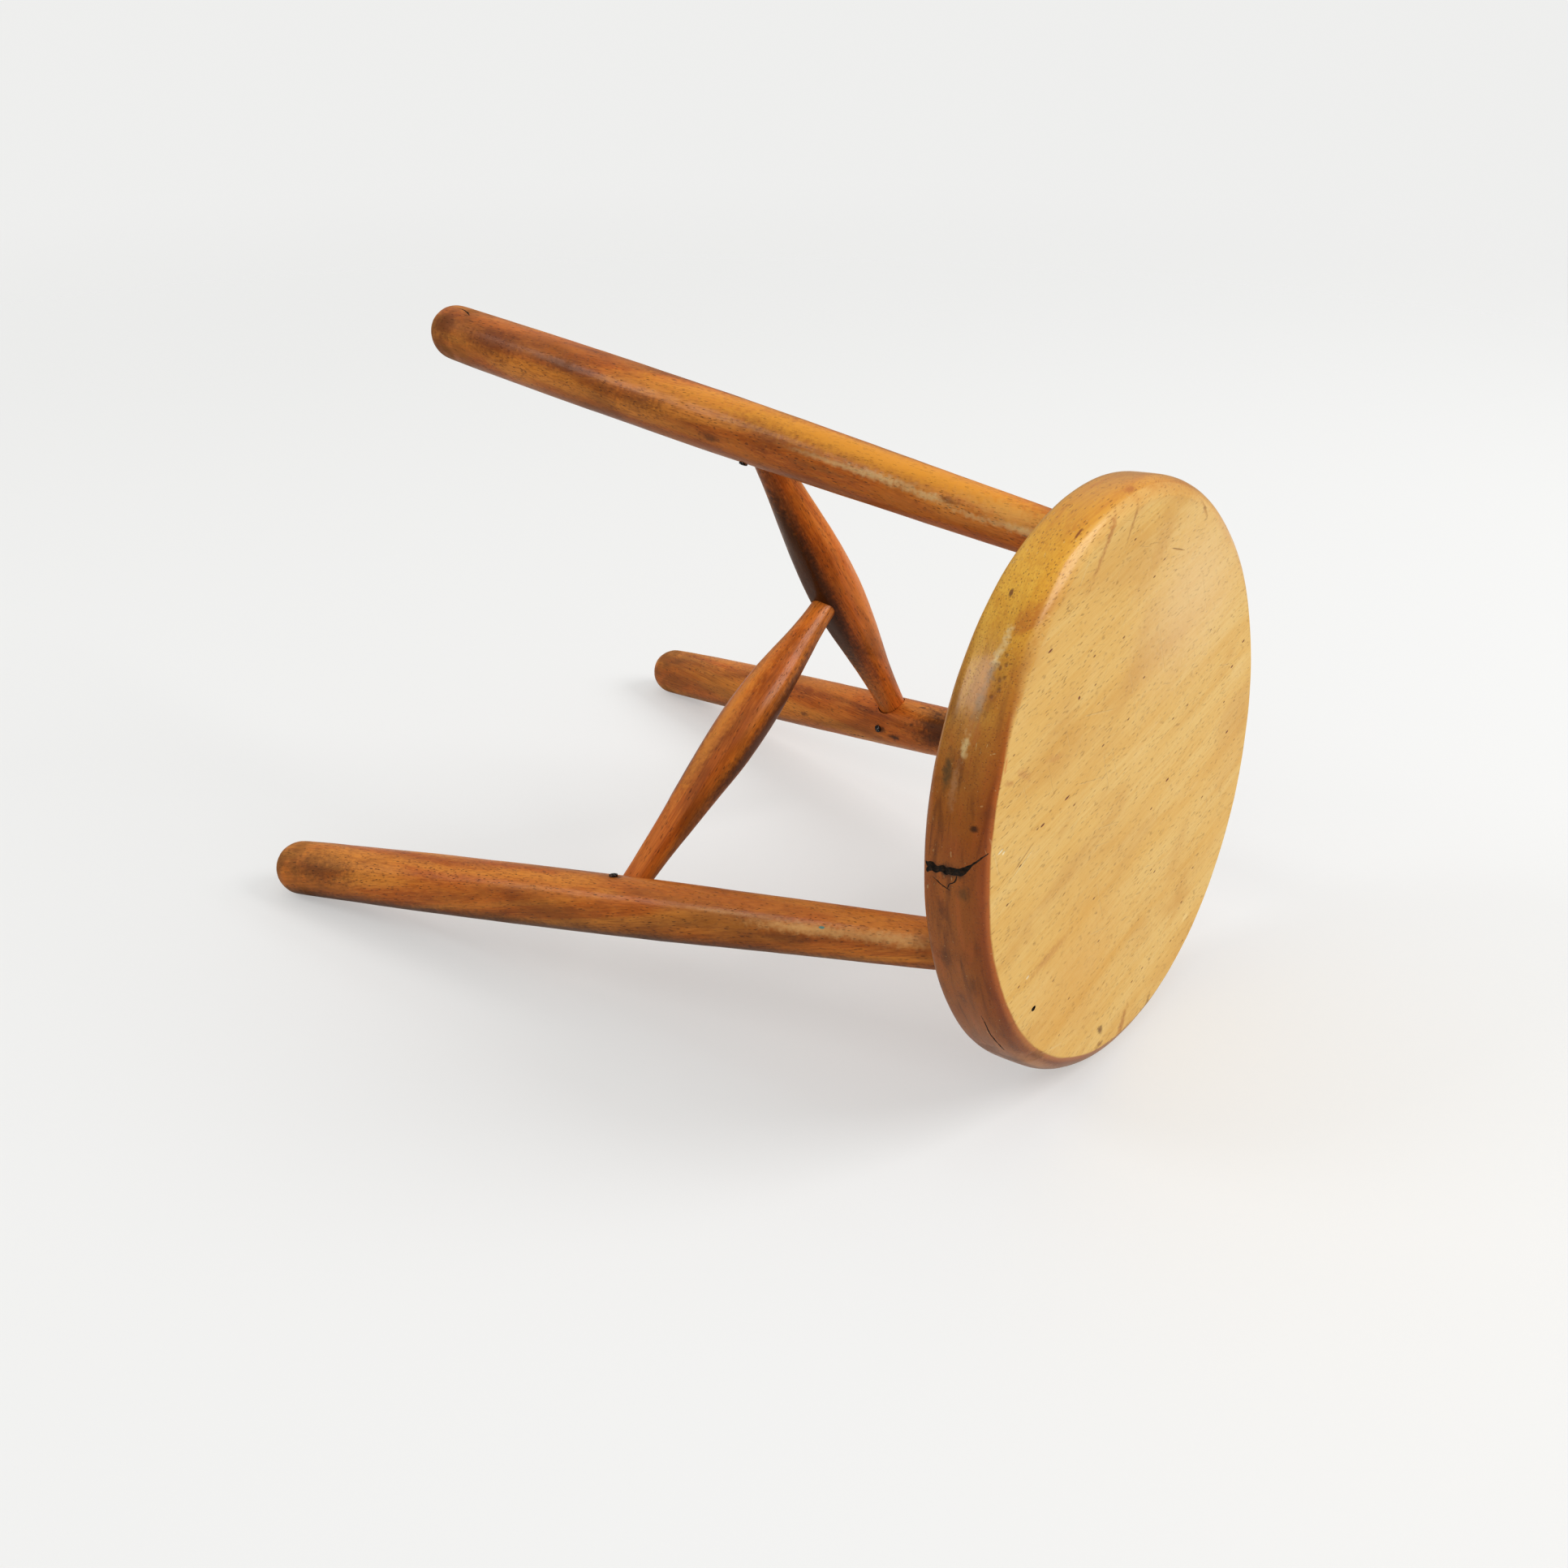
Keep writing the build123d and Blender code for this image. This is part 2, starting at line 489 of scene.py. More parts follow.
class Effects:
    """The effects that more than one finish uses, each built once as a node group."""

    def __init__(self) -> None:
        """Builds the groups."""
        self.grain = self._grain()
        self.mark = self._mark()
        self.patches = self._patches()
        self.scratches = self._scratches()

    @staticmethod
    def _start(name: str, inputs: dict[str, str], outputs: Sequence[str]) -> tuple[Tree, Socket, Socket]:
        """Starts a group.

        Args:
            name: The group's name.
            inputs: Input name to "Vector" or "Float".
            outputs: Names of the numbers it gives.

        Returns:
            The tree, its input node and its output node.
        """
        nodes = bpy.data.node_groups.new(name, "ShaderNodeTree")
        for label, kind in inputs.items():
            nodes.interface.new_socket(label, in_out="INPUT", socket_type="NodeSocket" + kind)
        for label in outputs:
            nodes.interface.new_socket(label, in_out="OUTPUT", socket_type="NodeSocketFloat")
        return Tree(nodes), nodes.nodes.new("NodeGroupInput"), nodes.nodes.new("NodeGroupOutput")

    def _grain(self) -> bpy.types.NodeTree:
        """Beech grain along Z: broad bands, fine fibres, short dark pores and pale flecks.

        Returns:
            The node group.
        """
        inputs = {"Vector": "Vector", "Seed": "Float"}
        tree, given, out = self._start("beech grain", inputs, ("Bands", "Fibres", "Pores", "Flecks"))
        inputs = {0: (1.3, 2.7, 0.9), "Scale": given.outputs["Seed"]}
        shift = tree.add("VectorMath", inputs, operation="SCALE").outputs[0]
        place = tree.vector("ADD", given.outputs["Vector"], shift)
        sway = tree.add("TexNoise", {"Vector": place, "Scale": 9.0, "Detail": 1.0}).outputs["Color"]
        sway = tree.scaled(tree.vector("SUBTRACT", sway, (0.5, 0.5, 0.5)), (0.006, 0.006, 0.0))
        place = tree.vector("ADD", place, sway)
        bands = tree.noise(tree.scaled(place, (70.0, 70.0, 3.2)), 1.0, 4.0, 0.4)
        fibres = tree.noise(tree.scaled(place, (1300.0, 1300.0, 42.0)), 1.0, 5.0)
        pores = self._dashes(tree, place, (1450.0, 1450.0, 210.0), 0.34, 0.20)
        large = self._dashes(tree, place, (800.0, 800.0, 125.0), 0.25, 0.62)
        flecks = self._dashes(tree, place, (900.0, 900.0, 300.0), 0.42, 0.40)
        pores = tree.math("MAXIMUM", pores, large)
        return tree.finish(out, {"Bands": bands, "Fibres": fibres, "Pores": pores, "Flecks": flecks})

    @staticmethod
    def _dashes(tree: Tree, place: Socket, scale: Vector, size: float, share: float) -> Socket:
        """Short dashes strewn along Z.

        Args:
            tree: The tree to wire.
            place: Where to read the pattern.
            scale: Dashes per metre along each axis.
            size: Half-width of a dash as a share of its cell.
            share: Share of the cells left empty.

        Returns:
            The mask's socket.
        """
        cells = tree.add("TexVoronoi", {"Vector": tree.scaled(place, scale), "Scale": 1.0})
        pick = tree.add("SeparateColor", {"Color": cells.outputs["Color"]}).outputs[0]
        strength = tree.step(pick, share, 1.0)
        return tree.times(tree.step(cells.outputs["Distance"], size, size * 0.45), strength)

    def _mark(self) -> bpy.types.NodeTree:
        """One soft-edged oval spot, stain, scratch, painted shade or painted highlight at a place of its own.

        Returns:
            The node group.
        """
        inputs = dict.fromkeys(("Vector", "Wander", "Centre", "Turn", "Size"), "Vector")
        inputs |= {"Softness": "Float", "Raggedness": "Float"}
        tree, given, out = self._start("mark", inputs, ("Mask",))
        sources = {"Vector": "Vector", "Location": "Centre", "Rotation": "Turn", "Scale": "Size"}
        inputs = {name: given.outputs[source] for name, source in sources.items()}
        place = tree.add("Mapping", inputs, vector_type="TEXTURE").outputs[0]
        inputs = {0: given.outputs["Wander"], "Scale": given.outputs["Raggedness"]}
        place = tree.vector("ADD", place, tree.add("VectorMath", inputs, operation="SCALE").outputs[0])
        away = tree.add("VectorMath", {0: place}, operation="LENGTH").outputs["Value"]
        inner = tree.minus(1.0, given.outputs["Softness"])
        return tree.finish(out, {"Mask": tree.step(away, 1.0, inner)})

    def _patches(self) -> bpy.types.NodeTree:
        """Irregular soft patches, as of wear, dirt or uneven varnish.

        Returns:
            The node group.
        """
        inputs = {"Vector": "Vector", "Scale": "Float", "Coverage": "Float", "Softness": "Float"}
        tree, given, out = self._start("patches", inputs, ("Mask",))
        inputs = {"Vector": given.outputs["Vector"], "Scale": given.outputs["Scale"]}
        inputs |= {"Detail": 5.0, "Roughness": 0.6, "Distortion": 0.3}
        cloud = tree.add("TexNoise", inputs).outputs["Fac"]
        edge = tree.minus(0.72, tree.times(given.outputs["Coverage"], 0.44))
        low = tree.minus(edge, given.outputs["Softness"])
        high = tree.plus(edge, given.outputs["Softness"])
        return tree.finish(out, {"Mask": tree.step(cloud, low, high)})

    def _scratches(self) -> bpy.types.NodeTree:
        """Thin scratches along X, broken into short runs.

        Returns:
            The node group.
        """
        tree, given, out = self._start("scratches", {"Vector": "Vector", "Amount": "Float"}, ("Mask",))
        lines = tree.noise(tree.scaled(given.outputs["Vector"], (9.0, 620.0, 620.0)), 1.0, 1.0)
        runs = tree.noise(given.outputs["Vector"], 55.0, 2.0)
        edge = tree.minus(0.80, tree.times(given.outputs["Amount"], 0.14))
        lines = tree.step(lines, edge, tree.plus(edge, 0.03))
        mask = tree.times(lines, tree.step(runs, 0.52, 0.60))
        return tree.finish(out, {"Mask": mask})


# ---------------------------------------------------------------- finishes


HAND_GRIME = (104, 58, 26)
FLOOR_DIRT = (118, 84, 50)
# RIM_SHADED, RIM_STREAK, RIM_GLEAM, RIM_BAND_SHADED, RIM_LIP and RIM_SMEAR colour only the rim's shaded side:
# partly darker varnish, partly painted shade.
RIM_SHADED = (156, 80, 30)
RIM_AWAY = (206, 128, 58)
RIM_STREAK = (104, 56, 22)
RIM_GLEAM = (184, 104, 44)
RIM_BAND_SHADED = (142, 66, 20)
RIM_BAND_LIT = (198, 120, 42)
RIM_LIP = (206, 122, 56)
RIM_SMEAR = (92, 54, 26)
TOP_DEEP = (208, 154, 78)
TOP_PALE = (238, 206, 144)
TOP_SPECK = (118, 62, 24)
TOP_SCORE = (238, 208, 150)


@dataclass(frozen=True)
class Mark:
    """One local mark on a wooden piece, with its half-sizes along the columns of its own axes."""

    centre: Vector
    axes: Matrix
    size: tuple[float, float, float]
    colour: Colour
    strength: float
    softness: float
    raggedness: float
    hollow: float = 0.0


@dataclass(frozen=True)
class Varnish:
    """How a wooden surface is coloured and how it shines."""

    light: Colour
    middle: Colour
    deep: Colour
    pore: Colour
    pore_strength: float
    roughness: float
    fibre_strength: float
    coat: float = 0.2
    grain_turn: float = 0.0


class WoodFinish:
    """Base of the wooden finishes: wires what they share."""

    def __init__(self, name: str, effects: Effects) -> None:
        """Starts a material.

        Args:
            name: The material's name.
            effects: The shared effects.
        """
        self.effects = effects
        self.material = bpy.data.materials.new(name)
        self.material.use_nodes = True
        self.tree = Tree(self.material.node_tree)
        self.tree.nodes.nodes.clear()
        self.place = self.tree.add("TexCoord", {}).outputs["Object"]
        self.height: object = 0.0

    def framed(self, axes: Matrix, origin: Vector) -> Socket:
        """Place measured along a piece's own axes.

        Args:
            axes: Columns of the piece's axes.
            origin: The point that becomes zero.

        Returns:
            The turned place.
        """
        turn = axes.transposed()
        inputs = {"Vector": self.place, "Location": -(turn @ origin), "Rotation": turn.to_euler()}
        return self.tree.add("Mapping", inputs, vector_type="POINT").outputs[0]

    def grained(self, local: Socket, varnish: Varnish, seed: float) -> Socket:
        """Lays the grain's colours.

        Args:
            local: Place with the grain along Z.
            varnish: The colours.
            seed: Which stretch of wood it is.

        Returns:
            The colour.
        """
        tree = self.tree
        grain = tree.group(self.effects.grain, {"Vector": local, "Seed": seed})
        bands = grain.outputs["Bands"]
        colour = tree.blend(tree.step(bands, 0.36, 0.56), varnish.light, varnish.middle)
        colour = tree.blend(tree.step(bands, 0.54, 0.72, 0.0, 0.8), colour, varnish.deep)
        fibres = tree.step(grain.outputs["Fibres"], 0.44, 0.66, 0.0, varnish.fibre_strength)
        colour = tree.blend(fibres, colour, varnish.deep)
        fibres = tree.step(grain.outputs["Fibres"], 0.46, 0.30, 0.0, varnish.fibre_strength)
        colour = tree.blend(fibres, colour, varnish.light)
        colour = tree.blend(tree.times(grain.outputs["Flecks"], 0.18), colour, varnish.light)
        pores = tree.times(grain.outputs["Pores"], varnish.pore_strength)
        colour = tree.blend(pores, colour, varnish.pore)
        self.raise_by(tree.times(grain.outputs["Pores"], -0.00022))
        self.raise_by(tree.times(grain.outputs["Fibres"], 0.00006))
        return colour

    def patched(self, place: Socket, scale: float, coverage: float, softness: float) -> Socket:
        """Mask of soft patches."""
        inputs = {"Vector": place, "Scale": scale, "Coverage": coverage, "Softness": softness}
        return self.tree.group(self.effects.patches, inputs).outputs["Mask"]

    def raise_by(self, amount: Socket) -> None:
        """Adds to the bump's height, in metres."""
        self.height = amount if self.height == 0.0 else self.tree.plus(self.height, amount)

    def marked(self, colour: Socket, marks: Sequence[Mark]) -> Socket:
        """Lays local marks over a colour and presses them in.

        Args:
            colour: The colour so far.
            marks: The marks.

        Returns:
            The new colour.
        """
        tree = self.tree
        rough = tree.add("TexNoise", {"Vector": self.place, "Scale": 420.0, "Detail": 3.0}).outputs["Color"]
        wander = tree.vector("SUBTRACT", rough, (0.5, 0.5, 0.5))
        for mark in marks:
            inputs = {"Vector": self.place, "Wander": wander, "Centre": mark.centre, "Size": mark.size}
            inputs |= {"Turn": mark.axes.to_euler(), "Softness": mark.softness, "Raggedness": mark.raggedness}
            mask = tree.group(self.effects.mark, inputs).outputs["Mask"]
            colour = tree.blend(tree.times(mask, mark.strength), colour, mark.colour)
            if mark.hollow:
                self.raise_by(tree.times(mask, -mark.hollow))
        return colour

    def close(self, colour: Socket, roughness: Socket, coat: object) -> bpy.types.Material:
        """Joins colour, roughness, coat and bump to the shader.

        Args:
            colour: Base colour.
            roughness: Roughness.
            coat: How much glossy varnish is left.

        Returns:
            The finished material.
        """
        tree = self.tree
        bump = tree.add("Bump", {"Height": self.height, "Strength": 1.0, "Distance": 1.0})
        inputs = {"Base Color": colour, "Roughness": roughness, "Normal": bump.outputs[0]}
        inputs |= {"Coat Weight": coat, "Coat Roughness": 0.14, "Coat IOR": VARNISH_IOR}
        inputs |= {"IOR": VARNISH_IOR, "Specular IOR Level": 0.25}
        shader = tree.add("BsdfPrincipled", inputs)
        tree.add("OutputMaterial", {"Surface": shader.outputs[0]})
        return self.material


class TurnedFinish(WoodFinish):
    """Aged varnish on a leg or stretcher: grain along the piece, dirt, bare patches and marks, among them
    painted shade and highlights.
    """

    def dress(
        self,
        line: CentreLine,
        varnish: Varnish,
        marks: Sequence[Mark],
        seed: float,
        dirt_reach: float,
    ) -> bpy.types.Material:
        """Wires the finish.

        Args:
            line: The piece's axis.
            varnish: Its colours.
            marks: Its local marks.
            seed: Which stretch of wood it is.
            dirt_reach: How far up from the start hand and floor dirt goes.

        Returns:
            The material.
        """
        tree = self.tree
        slope = Euler((math.radians(varnish.grain_turn), 0.0, 0.0)).to_matrix()
        local = self.framed(line.axes @ slope, line.start)
        straight = self.framed(line.axes, line.start)
        colour = self.grained(local, varnish, seed)
        stretched = tree.scaled(straight, (1.0, 1.0, 0.28))
        worn = self.patched(stretched, 62.0, 0.42, 0.10)
        colour = tree.blend(tree.times(worn, 0.35), colour, varnish.light)
        grime = self.patched(tree.vector("ADD", stretched, (0.31, 0.17, 0.53)), 48.0, 0.40, 0.12)
        colour = tree.lay(colour, grime, 0.50, HAND_GRIME)
        height = tree.add("SeparateXYZ", {"Vector": straight}).outputs["Z"]
        foot = tree.step(height, dirt_reach, dirt_reach * 0.1)
        cloud = tree.noise(straight, 95.0, 4.0)
        foot = tree.times(foot, tree.step(cloud, 0.30, 0.62))
        colour = tree.lay(colour, foot, 0.60, FLOOR_DIRT)
        colour = self.marked(colour, marks)
        rough = tree.times(worn, 0.10)
        rough = tree.plus(rough, tree.times(foot, 0.25))
        gloss = varnish.roughness
        rough = tree.plus(rough, tree.step(cloud, 0.3, 0.8, gloss - 0.05, gloss + 0.08))
        self.raise_by(tree.times(cloud, 0.00022))
        coat = tree.times(tree.step(cloud, 0.25, 0.55), tree.minus(1.0, foot))
        coat = tree.times(coat, varnish.coat)
        return self.close(colour, rough, coat)


class SeatFinish(WoodFinish):
    """The seat board: honey-coloured worn top, amber varnished rim whose shaded side is darker (partly darker
    varnish, partly painted shade), plain underside.
    """

    def dress(
        self,
        seat: "Seat",
        top: Varnish,
        rim: Varnish,
        marks: Sequence[Mark],
    ) -> bpy.types.Material:
        """Wires the finish.

        Args:
            seat: The seat, for its sizes.
            top: Colours of the worn top.
            rim: Colours of the rim and underside.
            marks: Its local marks.

        Returns:
            The material.
        """
        tree = self.tree
        run = math.radians(seat.grain_direction)
        along = Vector((math.cos(run), math.sin(run), 0.0))
        axes = Matrix((UP.cross(along), UP, along)).transposed()
        local = self.framed(axes, Vector((0.0, 0.0, seat.high)))
        pale = self.grained(local, top, seat.wood_seed)
        self.height = 0.0
        amber = self.grained(local, rim, seat.wood_seed)

        parts = tree.add("SeparateXYZ", {"Vector": self.place})
        flat = tree.scaled(self.place, (1.0, 1.0, 0.0))
        reach = tree.add("VectorMath", {0: flat}, operation="LENGTH").outputs["Value"]
        angle = tree.math("ARCTAN2", parts.outputs["Y"], parts.outputs["X"])

        blur = self._bow(angle, seat.worn_arris, 75.0)
        # shade marks the rim's shaded side. Its colours below are partly darker varnish and partly painted
        # shade.
        shade = self._bow(angle, seat.shaded_side, 80.0)
        away = self._bow(angle, seat.shaded_side + 180.0, 110.0)
        wobble = tree.minus(tree.noise(self.place, 60.0, 4.0), 0.5)
        spread = tree.plus(0.0012, tree.times(blur, 0.009))
        edge = tree.plus(reach, tree.times(wobble, spread))
        width = tree.plus(0.0006, tree.times(blur, 0.0075))
        inner = tree.minus(seat.arris_radius, tree.times(width, 0.6))
        rimmed = tree.step(edge, inner, tree.plus(inner, tree.times(width, 2.0)))
        under = tree.step(parts.outputs["Z"], seat.high - 2.0 * MM, seat.high - 4.0 * MM)
        rimmed = tree.math("MAXIMUM", rimmed, under)

        inputs = {"X": tree.times(angle, 4.5), "Y": tree.times(parts.outputs["Z"], 240.0)}
        around = tree.add("CombineXYZ", inputs | {"Z": tree.times(reach, 120.0)}).outputs[0]
        streaks = tree.noise(around, 1.0, 6.0, 0.5)
        amber = tree.lay(amber, away, 0.55, RIM_AWAY)
        # Painted shade on the shaded side, partly darker varnish, with dark and golden streaks through it.
        amber = tree.lay(amber, shade, 0.88, RIM_SHADED)
        dark = tree.times(tree.step(streaks, 0.48, 0.68), shade)
        amber = tree.lay(amber, dark, 0.60, RIM_STREAK)
        gold = tree.times(tree.step(streaks, 0.46, 0.32), shade)
        amber = tree.lay(amber, gold, 0.60, RIM_GLEAM)
        band = tree.step(reach, seat.radius, seat.arris_radius + 1.0 * MM)
        # A dark band of painted shade by the arris on the shaded side, with an orange lip at the arris.
        amber = tree.lay(amber, tree.times(band, shade), 0.85, RIM_BAND_SHADED)
        lip = tree.step(reach, seat.arris_radius + 3.4 * MM, seat.arris_radius + 0.8 * MM)
        amber = tree.lay(amber, tree.times(lip, shade), 0.65, RIM_LIP)
        band = tree.times(band, tree.minus(1.0, shade))
        amber = tree.lay(amber, band, 0.45, RIM_BAND_LIT)

        cloud = tree.noise(self.place, 14.0, 3.0, 0.4)
        drift = tree.noise(tree.scaled(local, (30.0, 30.0, 13.0)), 1.0, 6.0, 0.6)
        pale = tree.blend(tree.step(drift, 0.48, 0.76, 0.0, 0.55), pale, tint(*TOP_DEEP))
        pale = tree.blend(tree.step(drift, 0.44, 0.26, 0.0, 0.5), pale, tint(*TOP_PALE))
        colour = tree.blend(rimmed, pale, amber)
        smear = self.patched(self.place, 34.0, 0.22, 0.08)
        # Dark smears on the shaded side only, partly painted shade.
        smear = tree.times(smear, tree.times(rimmed, shade))
        colour = tree.lay(colour, smear, 0.40, RIM_SMEAR)
        colour = self.marked(colour, marks)

        fine = tree.scaled(local, (210.0, 210.0, 70.0))
        specks = tree.add("TexVoronoi", {"Vector": fine, "Scale": 1.0})
        pick = tree.add("SeparateColor", {"Color": specks.outputs["Color"]}).outputs[2]
        speck = tree.times(tree.step(specks.outputs["Distance"], 0.11, 0.05), tree.step(pick, 0.38, 0.78))
        speck = tree.times(speck, tree.minus(0.85, tree.times(rimmed, 0.6)))
        colour = tree.blend(speck, colour, tint(*TOP_SPECK))
        scored = self._scored()
        colour = tree.lay(colour, scored, 0.30, TOP_SCORE)
        self.raise_by(tree.times(scored, -0.00012))
        inputs = {"Vector": self.place, "Scale": 130.0, "Smoothness": 0.4}
        dings = tree.add("TexVoronoi", inputs, feature="SMOOTH_F1")
        rare = tree.add("SeparateColor", {"Color": dings.outputs["Color"]}).outputs[1]
        ding = tree.times(tree.step(dings.outputs["Distance"], 0.20, 0.05), tree.step(rare, 0.72, 0.80))
        self.raise_by(tree.times(ding, -0.00018))
        self.raise_by(tree.times(cloud, 0.0004))
        rough = tree.add("Mix", {0: rimmed, 2: top.roughness, 3: rim.roughness}, data_type="FLOAT").outputs[0]
        rough = tree.plus(rough, tree.times(smear, 0.2))
        rough = tree.plus(rough, tree.step(cloud, 0.3, 0.8, -0.04, 0.06))
        coat = tree.add("Mix", {0: rimmed, 2: top.coat, 3: rim.coat}, data_type="FLOAT").outputs[0]
        return self.close(colour, rough, coat)

    def _bow(self, angle: Socket, centre: float, half: float) -> Socket:
        """Mask of a stretch of the rim.

        Args:
            angle: Azimuth of the point.
            centre: Azimuth of the stretch's middle, in degrees.
            half: Half its length, in degrees.

        Returns:
            1 at the middle, falling to 0 at the ends.
        """
        tree = self.tree
        apart = tree.math("COSINE", tree.minus(angle, math.radians(centre)))
        return tree.step(apart, math.cos(math.radians(half)), math.cos(math.radians(half * 0.35)))

    def _scored(self) -> Socket:
        """Fine scratches in three directions.

        Returns:
            The mask's socket.
        """
        tree = self.tree
        total: object = 0.0
        for degrees in (12.0, -48.0, 71.0):
            turned = tree.add(
                "Mapping", {"Vector": self.place, "Rotation": (0.0, 0.0, math.radians(degrees))}
            ).outputs[0]
            node = tree.group(self.effects.scratches, {"Vector": turned, "Amount": 0.55})
            total = tree.math("MAXIMUM", total, node.outputs["Mask"])
        return total


@dataclass(frozen=True)
class PlainFinish:
    """Base of the small finishes."""

    @staticmethod
    def started(name: str) -> tuple[bpy.types.Material, Tree, Socket]:
        """A new material, its cleared tree and the place of a point.

        Args:
            name: The material's name.

        Returns:
            The material, its tree and the place.
        """
        material = bpy.data.materials.new(name)
        material.use_nodes = True
        tree = Tree(material.node_tree)
        tree.nodes.nodes.clear()
        return material, tree, tree.add("TexCoord", {}).outputs["Object"]

    @staticmethod
    def closed(tree: Tree, height: Socket, depth: float, inputs: dict) -> None:
        """Joins the bump and the other inputs to the shader.

        Args:
            tree: The material's tree.
            height: Height of the bump, from 0 to 1.
            depth: How deep the bump is, in metres.
            inputs: The shader's other inputs.
        """
        bump = tree.add("Bump", {"Height": height, "Distance": depth})
        shader = tree.add("BsdfPrincipled", inputs | {"Normal": bump.outputs[0]})
        tree.add("OutputMaterial", {"Surface": shader.outputs[0]})


@dataclass(frozen=True)
class SplitFinish(PlainFinish):
    """Dark, dusty wood inside cracks, knots and holes: partly dark dirt, partly painted shade of the recess.
    """

    dark: Colour = tint(30, 20, 12)
    dusty: Colour = tint(74, 52, 32)

    def dress(self) -> bpy.types.Material:
        """Wires the finish.

        Returns:
            The material.
        """
        material, tree, place = self.started("split wood")
        cloud = tree.noise(place, 900.0, 4.0)
        colour = tree.blend(tree.step(cloud, 0.4, 0.7), self.dark, self.dusty)
        rough = tree.step(cloud, 0.2, 0.8, 0.75, 0.95)
        self.closed(tree, cloud, 0.6 * MM, {"Base Color": colour, "Roughness": rough})
        return material


@dataclass(frozen=True)
class NailFinish(PlainFinish):
    """Blackened steel with a few rubbed glints and a little rust."""

    black: Colour = tint(44, 42, 42)
    rubbed: Colour = tint(150, 150, 152)
    rust: Colour = tint(84, 48, 28)

    def dress(self) -> bpy.types.Material:
        """Wires the finish.

        Returns:
            The material.
        """
        material, tree, place = self.started("nail steel")
        cloud = tree.noise(place, 1100.0, 3.0)
        colour = tree.blend(tree.step(cloud, 0.56, 0.66), self.black, self.rubbed)
        rust = tree.step(tree.noise(place, 640.0, 4.0), 0.52, 0.62)
        colour = tree.blend(tree.times(rust, 0.6), colour, self.rust)
        metal = tree.minus(1.0, tree.times(rust, 0.7))
        rough = tree.step(cloud, 0.3, 0.7, 0.55, 0.35)
        self.closed(tree, cloud, 0.2 * MM, {"Base Color": colour, "Roughness": rough, "Metallic": metal})
        return material


# ---------------------------------------------------------------- sub-assemblies


@dataclass
class Crack:
    """A split or hole in the wood, carved along a wandering path.

    Attributes:
        path: Points on the surface, in order.
        widths: Half-width at each point.
        raggedness: How far its width and path stray, as a share of the width.
        spacing: Distance between the points where it strays.
    """

    path: Sequence[Vector]
    widths: Sequence[float]
    raggedness: float = 0.28
    spacing: float = 1.1 * MM

    def strayed(self, seed: str) -> tuple[list[Vector], list[float]]:
        """Points and half-widths with the raggedness added.

        Args:
            seed: Seed of the random draws.

        Returns:
            The points and the half-widths.
        """
        draw = random.Random(seed)
        points, widths = [], []
        for place in range(len(self.path) - 1):
            first, last = self.path[place], self.path[place + 1]
            steps = max(1, round((last - first).length / self.spacing))
            for step in range(steps + (place == len(self.path) - 2)):
                share = step / steps
                width = self.widths[place] * (1 - share) + self.widths[place + 1] * share
                stray = Vector([draw.uniform(-1.0, 1.0) for _ in range(3)]) * width * self.raggedness
                points.append(first.lerp(last, share) + stray)
                widths.append(width * (1.0 + draw.uniform(-1.0, 1.0) * self.raggedness))
        return points, widths

    def tool(self, name: str, inside: bpy.types.Material) -> Piece:
        """The solid that carves it.

        Args:
            name: The tool's name.
            inside: What the carved walls are covered with.

        Returns:
            The tool.
        """
        along = (self.path[-1] - self.path[0]).normalized()
        guess = UP if abs(along.dot(UP)) < 0.9 else Vector((1.0, 0.0, 0.0))
        line = CentreLine(self.path[0], self.path[-1], guess)
        points, widths = self.strayed(name)
        piece = Bench.loft(name, points, widths, line.axes, 10)
        Bench.subdivide(piece, 1)
        piece.data.materials.append(inside)
        return piece


@dataclass(frozen=True)
class Spot:
    """A mark on a turned piece, in millimetres of its own measures; stains, wear, painted shade and painted
    highlights alike.

    Attributes:
        distance: Where it is along the piece.
        turn: Where it is round the piece, in degrees.
        around: Half-size round the piece.
        along: Half-size along it.
        colour: Its colour.
        strength: How much it covers.
        softness: Width of its soft edge as a share of its size.
        raggedness: How far its edge wanders.
    """

    distance: float
    turn: float
    around: float
    along: float
    colour: Shade
    strength: float = 0.7
    softness: float = 0.8
    raggedness: float = 1.0

    def on(self, line: CentreLine, radius: float) -> Mark:
        """The mark in the stool's frame.

        Args:
            line: The piece's axis.
            radius: The piece's radius there.

        Returns:
            The mark.
        """
        out = line.side(self.turn)
        axes = Matrix((out, line.along.cross(out), line.along)).transposed()
        around = self.around * MM
        size = (max(8 * MM, around * 0.8), around, self.along * MM)
        centre = line.on_side(self.distance * MM, self.turn, radius)
        return Mark(centre, axes, size, tint(*self.colour), self.strength, self.softness, self.raggedness)


@dataclass(frozen=True)
class Split:
    """A crack along a turned piece: (distance, turn, half-width) at each point, in mm and degrees."""

    points: tuple[tuple[float, float, float], ...]

    def on(self, line: CentreLine, radius: float) -> Crack:
        """The crack in the stool's frame, at a radius from the line."""
        path = [line.on_side(distance * MM, turn, radius) for distance, turn, _ in self.points]
        return Crack(path, [width * MM for *_, width in self.points])


